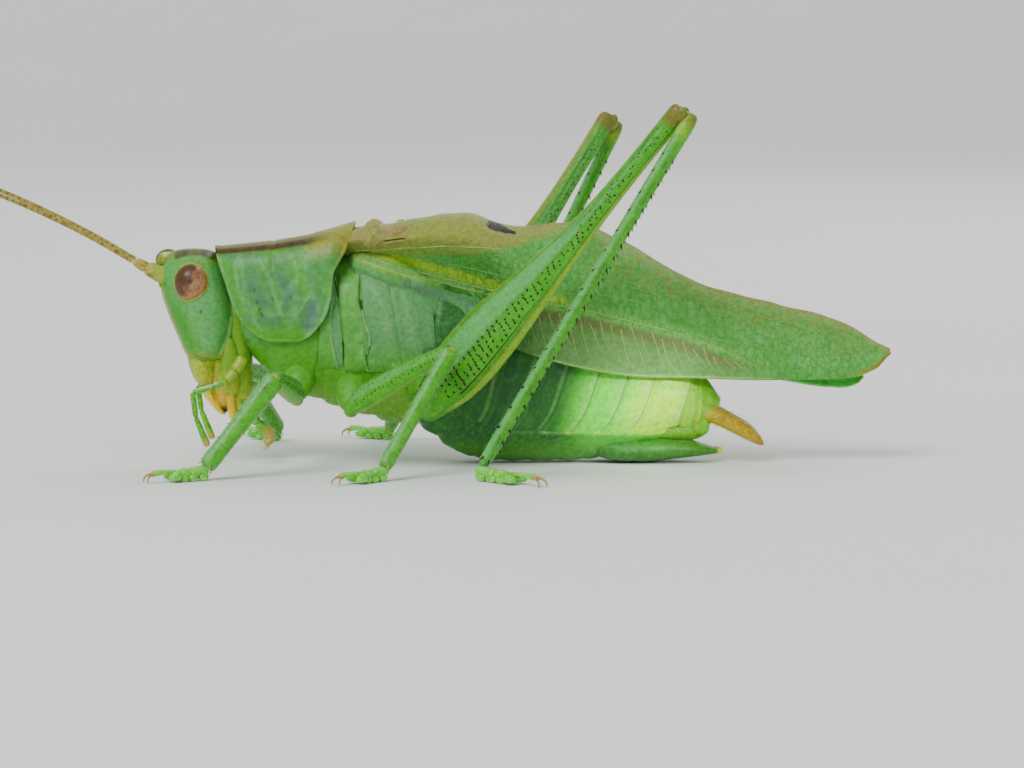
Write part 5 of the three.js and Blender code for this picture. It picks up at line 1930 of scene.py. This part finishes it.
def foot_place(heel, toe):
    """The matrix that lays a foot on the floor from heel to toe."""
    way = toe - heel
    turn = Matrix.Rotation(math.atan2(way.y, way.x), 4, "Z")
    scale = (way.length - 0.05) / FOOT_LENGTH
    return Matrix.Translation((heel.x, heel.y, 0)) @ turn @ Matrix.Diagonal((scale, 1, 1, 1))


def moved_copy(source, name, place):
    """A copy with its own mesh, set at a place."""
    piece = linked(name, source.data.copy())
    piece.data.name = name
    return placed(piece, place)


def hip_joints(name, hip, knee):
    """The thick hip joint, which grows out of the thorax, and the small ring between it and the thigh."""
    pair, side = name.split("_")
    sign = SIDES[side]
    size = {"front": 0.5, "mid": 0.54, "hind": 0.62}[pair]
    along = (knee - hip).normalized()
    inside = float(flank(hip.x + 0.1, hip.z + 1.2))
    root = Vector((hip.x + 0.1, sign * (inside - size * 1.15), hip.z + 1.2))
    coxa = limb("coxa", root, hip + along * 0.02, FORWARD, [
        (0, size * 0.9, size * 0.8), (0.3, size * 1.2, size * 1.0), (0.6, size * 1.15, size * 0.92),
        (0.85, size * 0.8, size * 0.68),
        (1, size * 0.4, size * 0.38)], 20)
    ring = ball("ring", hip + along * 0.06, (size * 0.5, size * 0.48, size * 0.48), 24, 16)
    piece = joined(f"hip_{name}", [coxa, ring])
    _, _, z = coordinates(piece).T
    return patterned(piece, green=0.8, yellow=0.5 * within(z, hip.z + 0.8, hip.z))


# ------------------------------------------------------------------ the animal, piece by piece

def leg_finishes():
    return {
        "leg": leg_finish("green_leg", (0.10, 0.34, 0.03), (0.07, 0.25, 0.018), (0.18, 0.46, 0.08)),
        "hind_leg": leg_finish(
            "green_hind_leg", (0.075, 0.275, 0.022), (0.052, 0.20, 0.013), (0.125, 0.36, 0.05)),
        "spine": plain_finish(
            "black_spine", (0.02, 0.014, 0.008), BLACK, (0.06, 0.04, 0.02), coat_weight=0.4),
        "dot": plain_finish("brown_dot", BROWN, BLACK, (0.10, 0.05, 0.02)),
        "foot": foot_finish(),
        "claw": plain_finish(
            "tan_claw", (0.40, 0.27, 0.10), (0.22, 0.12, 0.04), (0.6, 0.45, 0.22), coat_weight=0.4),
    }


def vein_finishes():
    return {
        "pale_veins": vein_finish("pale_vein", (0.33, 0.48, 0.17), (0.27, 0.40, 0.12), (0.42, 0.56, 0.24)),
        "green_veins": vein_finish("green_vein", (0.19, 0.37, 0.12), (0.14, 0.28, 0.08), (0.26, 0.42, 0.17)),
        "yellow_veins": vein_finish(
            "yellow_vein", (0.36, 0.40, 0.12), (0.27, 0.32, 0.08), (0.46, 0.50, 0.18)),
    }


def animal():
    pale_hair = plain_finish("pale_hair", (0.55, 0.58, 0.34), (0.4, 0.42, 0.2), (0.7, 0.72, 0.5), soft=0.3)
    finishes = {
        "thorax": thorax_finish(), "abdomen": abdomen_finish(), "mouth": mouth_finish(),
        "palp": palp_finish(), "feeler": feeler_finish(), "wing": wing_finish(),
        "hind_blade": hindwing_finish(), "cercus": cercus_finish(),
        "hair": pale_hair, **leg_finishes(), **vein_finishes(),
    }
    feet, hooks = foot(), claws()
    show_head(finishes)
    show_trunk(finishes)
    for side in SIDES:
        show_feeler_and_mouth(side, finishes)
        shown(thorax_plates(side), "thorax", finishes["thorax"], *THORAX_NODES)
        show_wings(side, finishes)
        show_cercus(side, finishes)
        for pair in ("front", "mid", "hind"):
            show_leg(f"{pair}_{side}", feet, hooks, finishes)
    for source in (feet, hooks):
        bpy.data.objects.remove(source)


def show_head(finishes):
    head_green, eye_red = head_finish(), eye_finish()
    head = head_shell()
    face_hair = hairs("face_hair", head, 160, 0.1, (-0.5, 0, -0.3), 0.006, lambda co, out: co[:, 2] < 5.5)
    eyes = {side: eye(side) for side in SIDES}
    bpy.context.view_layer.update()
    for side, eye_ball in eyes.items():
        shown(eye_rim(side, head, eye_ball), "head_shell", head_green, "head")
        shown(eye_ball, "eye", eye_red, f"eye_{side}")
    shown(head, "head_shell", head_green, "head")
    shown(face_hair, "head_shell", finishes["hair"], "head")
    shown(knob(), "head_shell", knob_finish(), "head")
    shown(clypeus(), "mouthparts", finishes["mouth"], "labrum", "head")
    shown(labrum(), "mouthparts", finishes["mouth"], "labrum")
    lip = labium()
    shown(
        hairs("lip_hair", lip, 260, 0.16, (0.4, 0, -0.2), 0.006), "mouthparts", finishes["hair"], "maxillae")
    shown(lip, "mouthparts", finishes["mouth"], "maxillae")


def show_trunk(finishes):
    shown(pronotum(), "pronotum", pronotum_finish(), "pronotum")
    skin = thorax_skin()
    fuzz = hairs("breast_hair", skin, 2600, 0.2, (0.2, 0, -0.2), 0.006,
                 lambda co, out: (co[:, 2] < 3.6) & (co[:, 0] > 3.2))
    shown(fuzz, "thorax", finishes["hair"], *THORAX_NODES)
    shown(skin, "thorax", finishes["thorax"], *THORAX_NODES)
    shown(belly_skin(), "abdomen", finishes["abdomen"], *RING_NODES)
    for number in range(1, 9):
        shown(back_plate(number), "abdomen", finishes["abdomen"], f"abdomen_{number}")
    end = abdomen_end()
    shown(
        hairs("end_hair", end, 240, 0.16, (0.6, 0, -0.1), 0.005), "abdomen", finishes["hair"], "abdomen_tip")
    shown(end, "abdomen", finishes["abdomen"], "abdomen_tip")
    shown(subgenital_plate(), "abdomen", finishes["abdomen"], "subgenital_plate")


def show_feeler_and_mouth(side, finishes):
    shown(feeler_base(side), "antennae", finishes["feeler"], f"scape_{side}")
    shown(
        flagellum(side), "antennae", finishes["feeler"],
        *[f"flagellum_{side}_{number}" for number in (1, 2, 3)])
    shown(mandible(side), "mouthparts", finishes["mouth"], f"mandible_{side}")
    shown(maxilla(side), "mouthparts", finishes["mouth"], "maxillae")
    palps = {f"maxillary_palp_{side}": maxillary_palp(side), f"labial_palp_{side}": labial_palp(side)}
    for node, palp in palps.items():
        shown(
            hairs(f"{palp.name}_hair", palp, 220, 0.1, (0, 0, -0.4), 0.005), "palps", finishes["hair"], node)
        shown(palp, "palps", finishes["palp"], node)


def show_wings(side, finishes):
    node = f"forewing_{side}"
    wing = forewing(side)
    edge_hair = hairs(f"wing_hair_{side}", wing, 9000, 0.09, (0.3, 0, 0.4), 0.004,
                      lambda co, out: co[:, 2] > WING(co[:, 0])[0] - 0.15)
    shown(edge_hair, "forewings", finishes["hair"], node)
    shown(wing, "forewings", finishes["wing"], node)
    shown(wing_hinge(side), "forewings", finishes["wing"], node)
    for name, piece in wing_veins(side).items():
        shown(piece, "forewings", finishes[name], node)
    shown(hindwing(side), "hindwings", finishes["hind_blade"], f"hindwing_{side}")


def show_cercus(side, finishes):
    clasper, node = cercus(side), f"cercus_{side}"
    shown(
        hairs(f"clasper_hair_{side}", clasper, 260, 0.18, (0.5, 0, -0.1), 0.005), "cerci", finishes["hair"],
        node)
    shown(clasper, "cerci", finishes["cercus"], node)


def show_leg(name, feet, hooks, finishes):
    hip, knee, top, ankle, heel, toe = leg_line(name)
    pair = name.split("_")[0]
    hind = pair == "hind"
    slot = "hind_legs" if hind else "front_and_mid_legs"
    green, hair = finishes["hind_leg" if hind else "leg"], finishes["hair"]
    femur, tibia, tarsus = (f"{part}_{name}" for part in ("femur", "tibia", "tarsus"))
    upper = Bone(hip, knee, UP, thigh_stations(name, hip, knee, UP))
    shown(hip_joints(name, hip, knee), slot, finishes["thorax"], femur, *THORAX_NODES)
    thigh_piece = thigh(name, upper)
    thigh_hair = hairs(
        f"thigh_hair_{name}", thigh_piece, 500 if hind else 300, 0.1, upper.along * 0.8, 0.004)
    shown(thigh_hair, slot, hair, femur)
    shown(thigh_piece, slot, green, femur)
    shown(thigh_dots(upper, name) if hind else thigh_specks(upper, name), slot, finishes["dot"], femur)
    size = {"front": 0.33, "mid": 0.27, "hind": 0.24}[pair]
    down = (ankle - top).normalized()
    hinge = top - down * (0.3 if hind else 0.2)
    shown(knee_lobes(name, upper, hinge + down * 0.15, size), slot, green, femur)
    lower = Bone(hinge, ankle, FORWARD, shin_stations(size, 1.15 if pair == "front" else 1.08), 0.82)
    shin_piece = shin(name, lower)
    shin_hair = hairs(f"shin_hair_{name}", shin_piece, 620 if hind else 460, 0.15, lower.along * 0.8, 0.005)
    shown(shin_hair, slot, hair, tibia)
    shown(shin_piece, slot, green, tibia)
    shown(shin_spines(name, lower), slot, finishes["spine" if hind else "claw"], tibia)
    place = foot_place(heel, toe)
    foot_piece = moved_copy(feet, f"foot_{name}", place)
    foot_hair = hairs(
        f"foot_hair_{name}", foot_piece, 320, 0.11, (toe - heel).normalized() * 0.5 + UP * 0.2, 0.005,
        lambda co, out: co[:, 2] > 0.12)
    shown(foot_hair, slot, hair, tarsus)
    shown(foot_piece, slot, finishes["foot"], tarsus)
    shown(moved_copy(hooks, f"claws_{name}", place), slot, finishes["claw"], tarsus)


# ------------------------------------------------------------------ floor, light and camera

def studio():
    """A plain pale floor that curves up behind, soft lights and the camera."""
    floor = added("floor", "plane", size=1)
    bpy.ops.object.mode_set(mode="EDIT")
    bpy.ops.transform.resize(value=(3, 1.6, 1))
    bpy.ops.mesh.select_all(action="DESELECT")
    bpy.ops.object.mode_set(mode="OBJECT")
    for edge in floor.data.edges:
        edge.select = all(floor.data.vertices[i].co.y > 0.5 for i in edge.vertices)
    bpy.ops.object.mode_set(mode="EDIT")
    bpy.ops.mesh.select_mode(type="EDGE")
    bpy.ops.mesh.extrude_region_move(TRANSFORM_OT_translate={"value": (0, 0, 1.2)})
    bpy.ops.object.mode_set(mode="OBJECT")
    for edge in floor.data.edges:
        edge.select = all(
            floor.data.vertices[i].co.y > 0.5 and floor.data.vertices[i].co.z < 0.1 for i in edge.vertices)
    bpy.ops.object.mode_set(mode="EDIT")
    bpy.ops.mesh.bevel(offset=0.5, segments=24)
    bpy.ops.object.mode_set(mode="OBJECT")
    bpy.ops.object.shade_smooth()
    finish = Finish("pale_floor", soft=0.0)
    tone = finish.node("ShaderNodeMix", data_type="RGBA")
    finish.feed(tone.inputs["Factor"], finish.noise(40))
    tone.inputs["A"].default_value = (0.88, 0.89, 0.87, 1)
    tone.inputs["B"].default_value = (0.93, 0.94, 0.92, 1)
    finish.set("Base Color", tone.outputs["Result"])
    finish.set("Roughness", 0.8)
    floor.data.materials.append(finish.material)

    world = bpy.data.worlds.new("pale_room")
    bpy.context.scene.world = world
    world.use_nodes = True
    background = world.node_tree.nodes["Background"]
    background.inputs["Color"].default_value = (0.88, 0.92, 0.90, 1)
    background.inputs["Strength"].default_value = 0.55

    middle = Vector((FACE + 12.6, MIDDLE, 4)) * MM
    tail = Vector((FACE + 16.3, MIDDLE, 1.5)) * MM
    lamp("daylight", "SUN", Vector(), (-0.45, -0.75, 0.8), energy=1.3, angle=math.radians(25))
    lamp("tail_sun", "SPOT", tail, (0.55, -0.8, 0.35), energy=4.6, spot_size=math.radians(1.15),
         spot_blend=1.0, shadow_soft_size=0.0015)
    lamp("window", "AREA", middle, (-0.5, -0.8, 1.1), size=0.16, energy=0.22)
    lamp("back_light", "AREA", middle, (0.5, 0.9, 0.9), size=0.14, energy=0.16)
    lamp("front_fill", "AREA", middle, (-0.2, -1.0, 0.15), size=0.2, energy=0.05)
    lamp("tail_glow", "AREA", middle, (0.9, -0.35, 0.35), size=0.05, energy=0.02)
    camera()


def lamp(name, kind, target, way, **settings):
    """A lamp on the way out from a target, looking back at it."""
    light = bpy.data.lights.new(name, kind)
    for key, value in settings.items():
        setattr(light, key, value)
    piece = linked(name, light)
    way = Vector(way).normalized()
    piece.location = target + way * LAMP_AWAY
    piece.rotation_euler = (-way).to_track_quat("-Z", "Y").to_euler()


def camera():
    """The camera looks at the left side from a little above the floor."""
    data = bpy.data.cameras.new("camera")
    data.sensor_width = SENSOR_WIDTH
    data.lens = SENSOR_WIDTH * CAMERA_AWAY / VIEW_WIDTH
    data.clip_start = 0.001
    piece = linked("camera", data)
    target = (Vector((FACE, MIDDLE, 0)) + Vector(CAMERA_TARGET)) * MM
    rise = math.radians(CAMERA_RISE)
    piece.location = target + Vector((0, -math.cos(rise), math.sin(rise))) * CAMERA_AWAY * MM
    piece.rotation_euler = (math.pi / 2 - rise, 0, 0)
    bpy.context.scene.camera = piece


animal()
studio()

bpy.context.view_layer.update()
